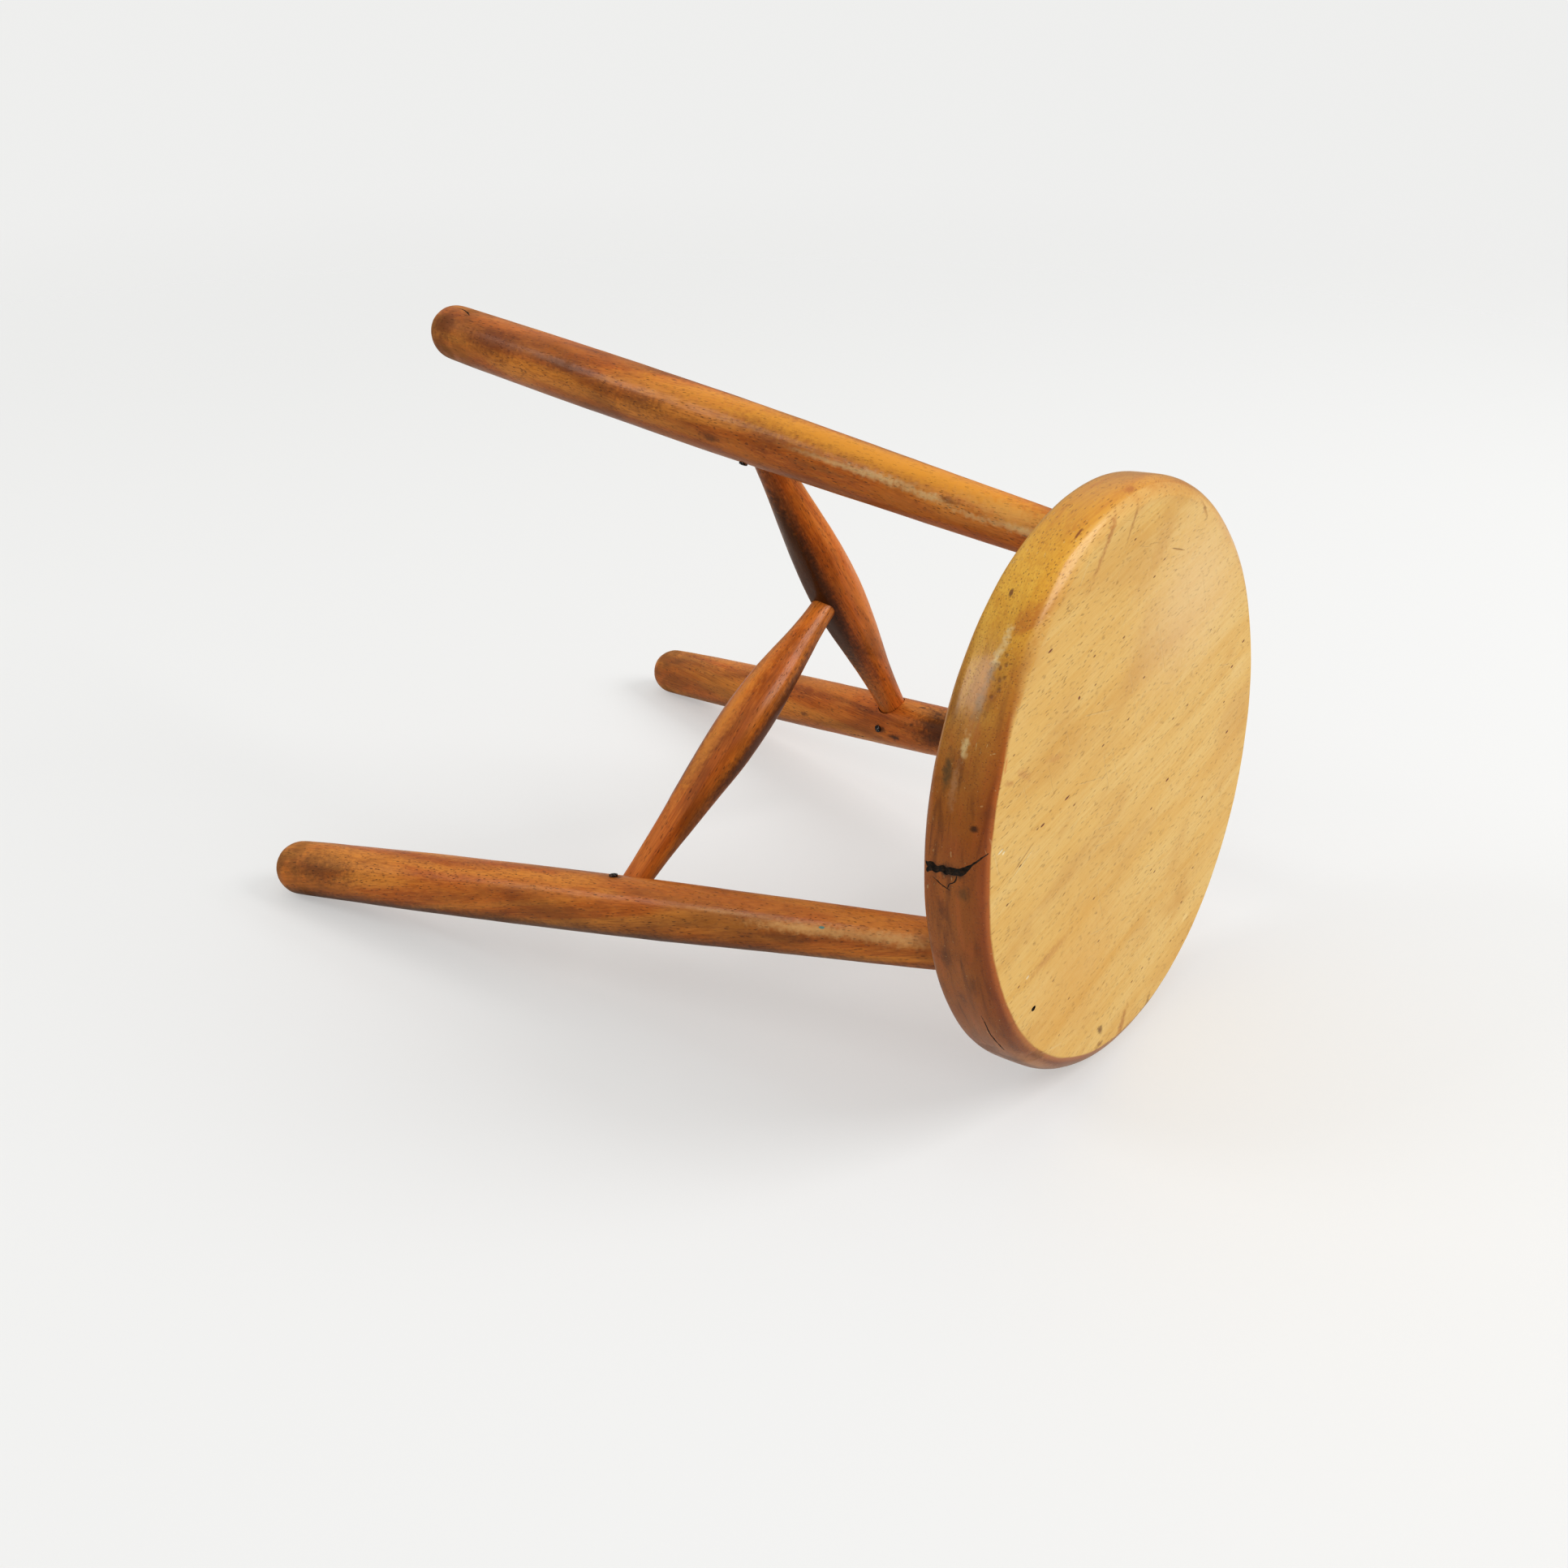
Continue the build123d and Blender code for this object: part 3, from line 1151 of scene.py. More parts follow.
class Wooden:
    """What the three kinds of wooden piece share."""

    @staticmethod
    def roughed(
        name: str, line: CentreLine, rings: Sequence[Ring], segments: int, waves: Sequence[tuple[float, ...]]
    ) -> Piece:
        """Turns a piece and gives it the unevenness of hand work.

        Args:
            name: The piece's name.
            line: Its axis.
            rings: Its outline.
            segments: Vertices in a ring.
            waves: Width and depth of each unevenness in millimetres, and its stretch.

        Returns:
            The piece.
        """
        piece = Bench.turn(name, line, rings, segments)
        Bench.subdivide(piece, 2)
        for size, depth, stretch in waves:
            Bench.unevenness(piece, size * MM, depth * MM, line.axes, stretch)
        return piece

    @staticmethod
    def cut(piece: Piece, sockets: Sequence[Piece], splits: Sequence[Piece], slot: Slot, node: str) -> None:
        """Bores the sockets, carves the splits one by one and hands the piece over.

        Args:
            piece: The piece.
            sockets: Solids to bore out of it together.
            splits: Solids to carve out of it in turn.
            slot: Its material slot.
            node: The CAD node it stands for.
        """
        for tools in [list(sockets)] * bool(sockets) + [[split] for split in splits]:
            Bench.carve(piece, tools)
        Bench.finish(piece, slot, [node])


@dataclass
class Leg(Wooden):
    """One leg: a domed foot, a slightly swelled shank and a tenon in the seat."""

    name: str
    varnish: Varnish
    seed: float
    foot_radius: float = 15.3 * MM
    stations: tuple[tuple[float, float], ...] = (
        (0.20, 16.0 * MM),
        (0.50, 15.5 * MM),
        (0.70, 14.2 * MM),
    )
    tenon_radius: float = 11.2 * MM
    tenon_bare: float = 5.0 * MM
    tenon_chamfer: float = 1.0 * MM
    socket_gap: float = 0.25 * MM
    dirt_reach: float = 70.0 * MM
    segments: int = 28
    spots: Sequence[Spot] = ()
    splits: Sequence[Split] = ()

    @property
    def node(self) -> str:
        """The CAD node it stands for."""
        return "leg_" + self.name

    @property
    def line(self) -> CentreLine:
        """Its axis, from the floor up, with turns counted from the outward side."""
        low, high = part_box(self.node)
        middle = (Vector(low) + Vector(high)) / 2
        outward = Vector((middle.x, middle.y, 0.0)).normalized()
        found = CentreLine.of_node(self.node, UP, outward)
        foot = found.end - found.along * (found.end.z / found.along.z)
        return CentreLine(foot, found.end, outward)

    @property
    def shank(self) -> float:
        """Length along the axis from the floor to the seat's underside."""
        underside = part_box("seat")[0][2]
        return underside / self.line.along.z

    def radius_at(self, distance: float) -> float:
        """Radius of the shank at a distance from the floor."""
        return smooth_radius(self.curve(), min(max(distance, self.foot_radius), self.shank - self.tenon_bare))

    def curve(self) -> list[tuple[float, float]]:
        """(distance, radius) stations from the ankle to the neck.

        Returns:
            The stations, in order.
        """
        curve = [(self.foot_radius, self.foot_radius)]
        curve += [(share * self.shank, radius) for share, radius in self.stations]
        curve.append((self.shank - self.tenon_bare, self.tenon_radius))
        return curve

    def outline(self) -> list[Ring]:
        """The rings from foot to tenon.

        Returns:
            The rings, in order.
        """
        foot = self.foot_radius
        neck = self.shank - self.tenon_bare
        rings = []
        for degrees in (14.0, 30.0, 46.0, 62.0, 77.0):
            turn = math.radians(degrees)
            rings.append(Ring(foot * (1.0 - math.cos(turn)), foot * math.sin(turn)))
        for step in range(13):
            distance = foot + (neck - 2 * MM - foot) * step / 12
            rings.append(Ring(distance, self.radius_at(distance)))
        end = self.line.length
        rings.append(Ring(neck + 2 * MM, self.tenon_radius))
        rings.append(Ring(self.shank + 8 * MM, self.tenon_radius))
        rings.append(Ring(end - self.tenon_chamfer, self.tenon_radius))
        rings.append(Ring(end, self.tenon_radius - self.tenon_chamfer))
        return rings

    def bit(self) -> Piece:
        """The bit that bores its socket in the seat, a little wider than its tenon.

        Returns:
            The bit.
        """
        radius = self.tenon_radius + self.socket_gap
        stops = (self.shank - 5 * MM, self.shank + 9 * MM, self.line.length + 1 * MM)
        rings = [Ring(stop, radius) for stop in stops]
        return Bench.turn(self.name + "_bit", self.line, rings, BIT_SEGMENTS)

    def build(self, sockets: Sequence[Piece], effects: Effects, inside: bpy.types.Material) -> Piece:
        """Makes and dresses the leg.

        Args:
            sockets: Solids to bore out of it.
            effects: The shared effects.
            inside: What cracks are covered with inside.

        Returns:
            The leg.
        """
        line = self.line
        waves = ((22, 0.9, 5.0), (6, 0.25, 2.5))
        piece = self.roughed("beech_" + self.node, line, self.outline(), self.segments, waves)
        Bench.pick(piece)
        bpy.ops.object.mode_set(mode="EDIT")
        bpy.ops.mesh.select_all(action="SELECT")
        bpy.ops.mesh.bisect(plane_co=(0, 0, 0), plane_no=(0, 0, 1), use_fill=True, clear_inner=True)
        bpy.ops.object.mode_set(mode="OBJECT")
        finish = TurnedFinish(self.node.replace("_", " ") + " beech", effects)
        marks = [spot.on(line, self.radius_at(spot.distance * MM)) for spot in self.spots]
        piece.data.materials.append(finish.dress(line, self.varnish, marks, self.seed, self.dirt_reach))
        cracks = [split.on(line, self.radius_at(split.points[0][0] * MM)) for split in self.splits]
        splits = [crack.tool(f"{self.name}_split_{n}", inside) for n, crack in enumerate(cracks)]
        self.cut(piece, sockets, splits, Slot.LEG, self.node)
        return piece


@dataclass
class Stretcher(Wooden):
    """A swelled stretcher between two sockets."""

    node: str
    toward: Vector
    end_radius: float
    swell_radius: float
    peak: float
    spans: tuple[float, float]
    varnish: Varnish
    seed: float
    bare: float = 20.0 * MM
    past_axis: float = 3.0 * MM
    chamfer: float = 1.0 * MM
    socket_gap: float = 0.22 * MM
    dirt_reach: float = 6.0 * MM
    segments: int = 24
    spots: Sequence[Spot] = ()

    @property
    def line(self) -> CentreLine:
        """Its axis, with turns counted from straight up."""
        return CentreLine.of_node(self.node, self.toward, UP)

    def swell(self, fraction: float) -> float:
        """Raised cosine, 1 at the peak and 0 half a span to either side."""
        offset = (fraction - self.peak) / self.spans[fraction > self.peak]
        return math.cos(math.pi * offset) ** 2 if abs(offset) < 0.5 else 0.0

    def outline(self) -> list[Ring]:
        """The rings from tenon to tenon.

        Returns:
            The rings, in order.
        """
        length = self.line.length
        between = length - 2 * self.past_axis
        rings = [
            Ring(0.0, self.end_radius - self.chamfer),
            Ring(self.chamfer, self.end_radius),
            Ring(self.bare * 0.6, self.end_radius),
        ]
        for step in range(13):
            distance = self.bare + (length - 2 * self.bare) * step / 12
            rise = self.swell((distance - self.past_axis) / between)
            rise = 0.0 if step in (0, 12) else rise
            rings.append(Ring(distance, self.end_radius + (self.swell_radius - self.end_radius) * rise))
        rings += [
            Ring(length - self.bare * 0.6, self.end_radius),
            Ring(length - self.chamfer, self.end_radius),
            Ring(length, self.end_radius - self.chamfer),
        ]
        return rings

    def socket(self, far_end: bool) -> Piece:
        """The bit that bores one of its sockets, a little wider than its tenon.

        Args:
            far_end: Whether it is the socket at the line's end.

        Returns:
            The bit.
        """
        line = self.line
        deep, past = self.bare * 1.3, 1 * MM
        span = (line.length - deep, line.length + past) if far_end else (-past, deep)
        radius = self.end_radius + self.socket_gap
        rings = [Ring(span[0], radius), Ring(sum(span) / 2, radius), Ring(span[1], radius)]
        return Bench.turn(self.node + "_bit", line, rings, BIT_SEGMENTS)

    def build(self, sockets: Sequence[Piece], effects: Effects) -> Piece:
        """Makes and dresses the stretcher.

        Args:
            sockets: Solids to bore out of it.
            effects: The shared effects.

        Returns:
            The stretcher.
        """
        line = self.line
        waves = ((10, 1.5, 8.0), (5, 0.2, 2.0))
        piece = self.roughed("beech_" + self.node, line, self.outline(), self.segments, waves)
        finish = TurnedFinish(self.node.replace("_", " ") + " beech", effects)
        marks = [spot.on(line, self.swell_radius) for spot in self.spots]
        piece.data.materials.append(finish.dress(line, self.varnish, marks, self.seed, self.dirt_reach))
        self.cut(piece, sockets, [], Slot.STRETCHER, self.node)
        return piece


SEAT_GRAIN = -109.0
INK = (52, 28, 16)
BROWN = (104, 56, 26)
RED_BROWN = (120, 50, 20)
IVORY = (226, 200, 146)
OLIVE = (150, 118, 78)
WHITE = (246, 230, 192)
# azimuth, depth below the top, half-length, half-height, colour, strength, softness, raggedness
RIM_MARKS = (
    (26, 14, 30, 7, (196, 132, 64), 0.6, 0.9, 1.0),
    (15.5, 11, 8, 2.4, IVORY, 0.7, 0.9, 1.8),
    (19.5, 12, 8, 2.6, IVORY, 0.8, 0.9, 1.8),
    (22.5, 12, 8, 3, OLIVE, 0.75, 0.9, 1.8),
    (28, 13, 12, 3.6, OLIVE, 0.7, 0.9, 1.4),
    (35, 14.5, 8, 2.8, IVORY, 0.75, 0.9, 1.8),
    (42, 16, 14, 2.6, (186, 138, 96), 0.6, 0.9, 1.4),
    (39.5, 20, 12, 3.4, (92, 72, 40), 0.8, 0.9, 1.2),
    (56.3, 14, 4.6, 12, INK, 0.6, 0.9, 1.3),
    (56.3, 15, 2.6, 9, INK, 0.8, 0.8, 1.3),
    (60, 8, 5, 4, (100, 72, 36), 0.6, 0.9, 1.2),
    (48.3, 5.2, 2, 2.2, INK, 0.8, 0.7, 0.6),
    (7.7, 18, 3.2, 1.2, BROWN, 0.8, 0.6, 0.8),
    (-8.2, 6.2, 6, 0.7, RED_BROWN, 0.8, 0.7, 0.8),
    (-27, 5.2, 8, 2.2, (172, 92, 34), 0.6, 0.8, 1.2),
    (64, 18, 8, 3, BROWN, 0.65, 0.9, 1.2),
    (74, 19, 9, 4, BROWN, 0.6, 0.9, 1.2),
    (84, 15, 9, 3, BROWN, 0.55, 0.9, 1.2),
    (100, 9, 14, 4, (192, 122, 62), 0.5, 0.9, 1.0),
    (112, 4, 34, 5, (214, 146, 88), 0.7, 0.9, 0.8),
)
# half-length, half-height, colour, strength, softness, raggedness, hollow of each dent
RIM_DENT = (1.5, 1, BROWN, 0.5, 0.9, 0.5, 0.35)
# azimuth, depth below the top
RIM_DENTS = (
    (19, 8.5), (20.6, 7.4), (21.4, 9.2), (22.8, 6.4), (23.4, 8), (25, 7), (26.4, 9),
)
# colour, strength, softness, raggedness, hollow of each prick
TOP_PRICK = (RED_BROWN, 0.9, 0.5, 0.5, 0.25)
# x, y, half-length, half-width
TOP_PRICKS = (
    (81.4, 20.7, 1.2, 1), (48.7, 49.6, 2.8, 0.6), (55.2, 70.2, 2.2, 0.6), (-27, -24, 2, 0.7),
    (-61, -85, 1.8, 0.7), (119, 29, 2.4, 0.6), (-31, -103, 2, 0.6), (-29, -119, 2, 0.6),
)
# x, y, direction, half-length, half-width, colour, strength, softness, raggedness, hollow
TOP_MARKS = (
    (40, -85, SEAT_GRAIN, 90, 60, (240, 208, 160), 0.55, 1.0),
    (-40, 85, SEAT_GRAIN, 80, 50, (224, 170, 86), 0.55, 1.0),
    (126, -34, -72, 34, 2.6, (176, 106, 50), 0.6, 0.95, 1.4),
    (116, -52, -66, 16, 1.6, (160, 96, 46), 0.5, 0.95, 1.4),
    (88.5, 70, 30, 9, 3, (196, 132, 80), 0.45, 0.95, 1.4),
    (74, 48.6, 50, 10, 2.6, (200, 140, 86), 0.4, 0.95, 1.4),
    (95, 80, 40, 7, 2, (176, 108, 54), 0.45, 0.95, 1.4),
    (104, 78, -52, 6, 1.4, (212, 120, 52), 0.6, 0.95, 1.4),
    (74.1, 99.5, SEAT_GRAIN, 3, 0.7, WHITE, 0.9, 0.5, 0.5, 0.3),
    (71.5, 98, SEAT_GRAIN, 1.5, 0.8, WHITE, 0.8, 0.5, 0.5, 0.2),
    (2.1, 113.7, SEAT_GRAIN, 1.8, 0.8, WHITE, 0.8, 0.5, 0.5, 0.2),
    (-118, -6.3, SEAT_GRAIN, 5, 2.2, (244, 214, 150), 0.7, 0.8),
    (53.5, 90, -100, 13, 0.5, (242, 216, 160), 0.6, 0.5, 0.5, 0.2),
    (55.5, 88, -98, 12, 0.4, (176, 122, 62), 0.5, 0.5, 0.5, 0.2),
    (72, -80, 43, 9, 0.45, (160, 108, 56), 0.6, 0.5, 0.5, 0.2),
    (-88, 83.5, 20, 5, 3, BROWN, 0.75, 0.95, 1.4),
    (-95, 88, 60, 5, 2.4, RED_BROWN, 0.6, 0.95, 1.4),
    (-108, 68, -60, 14, 4, (170, 98, 46), 0.55, 0.95, 1.4),
    (-123.5, 46, -68, 9, 2.4, BROWN, 0.6, 0.95, 1.4),
    (-6, 96, SEAT_GRAIN, 26, 4, (190, 126, 66), 0.4, 0.95, 1.4),
    (70, -110, 0, 8, 2.4, (176, 116, 60), 0.5, 0.95, 1.4),
)


@dataclass
class Seat(Wooden):
    """The round seat board."""

    node: str = "seat"
    top_round: float = 11.0 * MM
    under_round: float = 6.0 * MM
    arris: float = 8.7 * MM
    grain_direction: float = SEAT_GRAIN
    worn_arris: float = -35.0
    # Azimuth of the rim's shaded side, which is painted with shade.
    shaded_side: float = 85.0
    wood_seed: float = 3.0
    segments: int = 96

    @property
    def low(self) -> float:
        """Height of the underside."""
        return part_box(self.node)[0][2]

    @property
    def high(self) -> float:
        """Height of the top."""
        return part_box(self.node)[1][2]

    @property
    def radius(self) -> float:
        """Radius of the board."""
        low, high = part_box(self.node)
        return (high[0] - low[0]) / 2

    @property
    def arris_radius(self) -> float:
        """Radius at which the flat top ends."""
        return self.radius - self.arris

    def on_rim(self, azimuth: float, height: float) -> Vector:
        """A point of the rim's surface.

        Args:
            azimuth: Direction from the centre, in degrees.
            height: Height above the floor.

        Returns:
            The point.
        """
        over = max(0.0, height - (self.high - self.top_round))
        reach = self.radius - self.top_round + math.sqrt(max(0.0, self.top_round**2 - over**2))
        turn = math.radians(azimuth)
        return Vector((reach * math.cos(turn), reach * math.sin(turn), height))

    @staticmethod
    def mark(
        centre: Vector, run: float, size: tuple[float, ...], colour: Shade,
        strength: float, softness: float = 0.5, raggedness: float = 0.5, hollow: float = 0.0,
    ) -> Mark:
        """A mark from measures in millimetres.

        Args:
            centre: Where it is, in metres.
            run: Direction of its first axis seen from above, in degrees.
            size: Its half-sizes along its own axes.
            colour: Its display colour.
            strength: How much it covers.
            softness: Width of its soft edge as a share of its size.
            raggedness: How far its edge wanders.
            hollow: How deep it is pressed in.

        Returns:
            The mark.
        """
        axes = Matrix.Rotation(math.radians(run), 3, "Z")
        half = tuple(measure * MM for measure in size)
        return Mark(centre, axes, half, tint(*colour), strength, softness, raggedness, hollow * MM)

    def flaws(self) -> list[Mark]:
        """Stains, dents and worn patches, from the rim round to the top.

        Returns:
            The marks.
        """
        rim = [*RIM_MARKS, *((azimuth, below, *RIM_DENT) for azimuth, below in RIM_DENTS)]
        top = [(x, y, SEAT_GRAIN, long, wide, *TOP_PRICK) for x, y, long, wide in TOP_PRICKS]
        marks = []
        for azimuth, below, around, tall, colour, *how in rim:
            centre = self.on_rim(azimuth, self.high - below * MM)
            marks.append(self.mark(centre, azimuth, (6, around, tall), colour, *how))
        for x, y, run, long, wide, colour, *how in [*top, *TOP_MARKS]:
            centre = Vector((x * MM, y * MM, self.high))
            marks.append(self.mark(centre, run, (long, wide, 3), colour, *how))
        return marks

    def splits(self) -> list[Crack]:
        """The black fissure across the rim with its forks, a low split and the worm hole.

        Returns:
            The cracks.
        """
        high = self.high
        fissure = [
            (54.6, 28.4, 0.5), (55.5, 27.0, 0.9), (56.2, 25.0, 1.6), (56.4, 22.5, 2.0), (56.4, 19.5, 1.7),
            (56.4, 16.5, 1.8), (56.3, 13.5, 1.7), (56.2, 10.5, 2.1), (55.9, 8.2, 2.0), (55.3, 6.6, 1.2),
            (54.6, 5.0, 0.8), (53.9, 3.2, 0.5), (53.2, 1.8, 0.4), (52.6, 0.6, 0.25),
        ]
        lobe = [(56.3, 21.6, 0.8), (56.9, 23.4, 1.3), (57.3, 25.0, 1.1), (57.6, 26.4, 0.5)]
        fork = [
            (56.6, 10.6, 0.4), (57.6, 11.0, 0.35), (58.2, 12.0, 0.3), (58.6, 14.2, 0.3), (59.6, 15.0, 0.15),
        ]
        low_fork = [(57.6, 24.0, 0.3), (58.4, 21.0, 0.3), (59.2, 17.5, 0.3), (59.9, 13.0, 0.15)]
        low_split = [
            (86.0, 9.0, 0.15), (90.0, 8.4, 0.3), (94.0, 8.8, 0.35), (98.0, 8.0, 0.3), (102.0, 7.8, 0.15),
        ]
        cracks = [
            Crack([self.on_rim(a, high - depth * MM) for a, depth, _ in line], [w * MM for *_, w in line])
            for line in (fissure, lobe, fork, low_fork, low_split)
        ]
        bore = [(-16.0, 119.6, 1.0), (-17.0, 116.8, -0.5), (-18.0, 114.2, -2.0), (-19.0, 111.6, -3.5)]
        path = [Vector((x * MM, y * MM, high + z * MM)) for x, y, z in bore]
        cracks.append(Crack(path, [1.1 * MM, 1.2 * MM, 1.1 * MM, 0.8 * MM], 0.2))
        return cracks

    def outline(self) -> list[Ring]:
        """The rings from the underside's middle, round the rim, to the top's middle.

        Returns:
            The rings, in order.
        """
        thick = self.high - self.low
        edge = self.radius
        rings = [Ring(0.0, reach * MM) for reach in (10.0, 40.0, 70.0, 95.0, 115.0, 127.0)]
        low, top = self.under_round, self.top_round
        for turn in map(math.radians, (-82.0, -60.0, -35.0, -10.0)):
            rings.append(Ring(low * (1 + math.sin(turn)), edge - low * (1 - math.cos(turn))))
        rings.append(Ring(thick / 2, edge))
        for turn in map(math.radians, (4.0, 18.0, 32.0, 46.0, 58.0, 67.0)):
            rings.append(Ring(thick - top * (1 - math.sin(turn)), edge - top * (1 - math.cos(turn))))
        arris = self.arris_radius
        rings.append(Ring(thick - 0.22 * MM, arris + 0.55 * MM))
        rings += [Ring(thick, arris), Ring(thick, arris - 0.6 * MM)]
        rings += [Ring(thick, reach * MM) for reach in (125.0, 112.0, 95.0, 75.0, 52.0, 30.0, 10.0)]
        return rings

    def build(self, sockets: Sequence[Piece], effects: Effects, inside: bpy.types.Material) -> Piece:
        """Makes and dresses the seat.

        Args:
            sockets: Solids to bore out of it.
            effects: The shared effects.
            inside: What cracks and holes are covered with inside.

        Returns:
            The seat.
        """
        centre = Vector((0.0, 0.0, self.low))
        line = CentreLine(centre, Vector((0.0, 0.0, self.high)), Vector((1.0, 0.0, 0.0)))
        waves = ((70, 0.9, 1.0), (14, 0.16, 1.0))
        piece = self.roughed("beech_seat", line, self.outline(), self.segments, waves)
        finish = SeatFinish("seat beech", effects)
        piece.data.materials.append(finish.dress(self, SEAT_TOP, SEAT_RIM, self.flaws()))
        splits = [crack.tool(f"seat_split_{n}", inside) for n, crack in enumerate(self.splits())]
        self.cut(piece, sockets, splits, Slot.SEAT, self.node)
        return piece


SEAT_TOP = Varnish(
    light=tint(234, 198, 128),
    middle=tint(231, 190, 115),
    deep=tint(225, 177, 96),
    pore=tint(140, 84, 34),
    pore_strength=0.42,
    roughness=0.44,
    coat=0.06,
    fibre_strength=0.52,
)
SEAT_RIM = Varnish(
    light=tint(232, 184, 72),
    middle=tint(220, 166, 54),
    deep=tint(190, 122, 38),
    pore=tint(116, 62, 22),
    pore_strength=0.55,
    roughness=0.32,
    coat=0.45,
    fibre_strength=0.35,
)
LEG_VARNISH = Varnish(
    light=tint(222, 146, 62),
    middle=tint(200, 112, 40),
    deep=tint(144, 74, 26),
    pore=tint(74, 36, 14),
    pore_strength=0.8,
    roughness=0.36,
    fibre_strength=0.42,
    grain_turn=9.0,
)
STRETCHER_VARNISH = Varnish(
    light=tint(226, 144, 60),
    middle=tint(204, 114, 42),
    deep=tint(148, 76, 28),
    pore=tint(80, 40, 16),
    pore_strength=0.7,
    roughness=0.36,
    fibre_strength=0.42,
    grain_turn=4.0,
)


AMBER = (228, 160, 56)
CREAM = (232, 204, 150)
SOOT = (62, 34, 18)
UMBER = (108, 58, 26)
RUST = (150, 74, 30)

BACK_SPOTS = (
    # Painted shade: a dark band along the leg's lower side.
    Spot(150, 25, 13, 600, (80, 44, 18), 0.85, 0.8, 0.6),
    # Painted light on the leg's upper side.
    Spot(300, -98, 6, 130, (196, 124, 58), 0.45, 0.9),
    # The next three: a pale band, partly worn varnish and partly a painted highlight.
    Spot(300, -71, 1.6, 34, (208, 154, 94), 0.5, 0.9, 1.4),
    Spot(345, -58, 4.4, 48, (230, 182, 120), 0.8, 1.0, 1.0),
    Spot(390, -58, 4.8, 34, (230, 182, 120), 0.8, 1.0, 1.0),
    Spot(351, -64, 0.8, 1.8, (70, 150, 148), 0.85, 0.4, 0.5),
    Spot(45, -60, 12, 36, (92, 58, 28), 0.55, 0.9, 1.4),
    Spot(120, -110, 7, 60, RUST, 0.45, 0.9),
    Spot(330, -35, 3, 24, UMBER, 0.5, 0.9, 1.4),
    Spot(231, -128, 2.6, 3.2, SOOT, 0.75),
    Spot(405, -60, 14, 14, UMBER, 0.45, 0.9),
)
RIGHT_SPOTS = (
    # Painted shade along the leg's lower side.
    Spot(220, 142, 9, 230, (116, 62, 26), 0.35, 0.8, 0.6),
    # Painted light: a golden band on the leg's upper side.
    Spot(310, 27, 12, 180, AMBER, 0.9, 0.8, 0.8),
    Spot(350, 108, 5, 80, (200, 126, 50), 0.5, 0.9),
    # Painted light on the upper side near the foot.
    Spot(90, 20, 6, 80, (196, 116, 44), 0.5, 0.9),
    # The next six: a cream band and a pale patch, partly worn varnish and partly a painted highlight.
    Spot(290, 72, 2.2, 36, CREAM, 0.5, 1.0, 0.9),
    Spot(318, 70, 3.4, 34, CREAM, 0.65, 1.0, 1.6),
    Spot(346, 74, 3.2, 18, CREAM, 0.65, 1.0, 1.8),
    Spot(372, 84, 2.4, 24, CREAM, 0.55, 1.0, 1.8),
    Spot(396, 78, 3.2, 22, CREAM, 0.85, 1.0, 1.2),
    Spot(388, 50, 8, 46, (230, 176, 92), 0.75, 1.0, 1.0),
    Spot(356, 68, 2.2, 8, UMBER, 0.55, 0.9, 1.2),
    Spot(284, 92, 2.4, 30, (138, 92, 50), 0.5, 0.9, 1.4),
    Spot(60, 66, 10, 34, (118, 56, 22), 0.6, 0.9, 1.4),
    Spot(112, 62, 5, 28, UMBER, 0.6, 0.9, 1.5),
    Spot(165, 80, 7, 32, (116, 64, 32), 0.6, 0.9, 1.5),
    Spot(215, 105, 3, 9, SOOT, 0.6, 0.9, 1.2),
    Spot(20, 60, 14, 12, (120, 62, 30), 0.6, 0.8, 1.4),
)
LEFT_SPOTS = (
    Spot(240, -142, 2.6, 7, SOOT, 0.85, raggedness=1.4),
    Spot(231, -156, 3, 3.2, SOOT, 0.75),
    Spot(254, 179, 2, 2.6, SOOT, 0.7, raggedness=1.2),
    Spot(255, 128, 1.2, 3.4, SOOT, 0.75, raggedness=1.2),
    Spot(224, -112, 1.6, 34, (212, 156, 94), 0.65, raggedness=1.5),
    Spot(163, -150, 2.4, 5, UMBER, 0.7, raggedness=1.4),
    Spot(150, 130, 6, 90, (204, 132, 58), 0.5, 0.9),
    # Painted shadow of the seat over the leg's top end.
    Spot(278, 176, 22, 32, (74, 38, 14), 0.85, 0.8),
    Spot(100, -110, 8, 110, (104, 60, 28), 0.55, 0.9),
)
CROSS_SPOTS = (
    # A dark side, partly a dark stain and partly painted shadow of the seat.
    Spot(100, 92, 16, 170, (70, 38, 15), 0.92, 0.6, 0.6),
    # Painted highlight along the lit edge.
    Spot(90, -30, 9, 90, (228, 140, 62), 0.7, 0.9),
    Spot(190, 40, 10, 50, (98, 48, 18), 0.8, 0.9),
)
CENTRE_SPOTS = (
    # Painted shade along the lower side.
    Spot(100, -12, 9, 320, (80, 40, 16), 0.88, 0.8, 0.6),
    # Painted highlight along the upper side.
    Spot(115, 96, 8, 110, (230, 154, 66), 0.7, 0.9),
    Spot(16, 40, 9, 12, UMBER, 0.55, 0.9),
)
RIGHT_SPLITS = (
    Split((
        (346, 79, 0.12), (354, 80.5, 0.25), (362, 79, 0.25), (372, 79.5, 0.35), (382, 78, 0.35),
        (392, 79.5, 0.45), (402, 79, 0.35), (410, 80, 0.15),
    )),
    Split((
        (21, 10, 0.2), (25, 13, 0.45), (28, 17, 0.45), (31, 23, 0.2),
    )),
)
LEFT_SPLITS = (
    Split((
        (193, -115, 0.2), (204, -117, 0.4), (215, -120, 0.35), (225, -119.5, 0.5), (236, -121, 0.45),
        (246, -119, 0.55), (257, -118, 0.25),
    )),
)


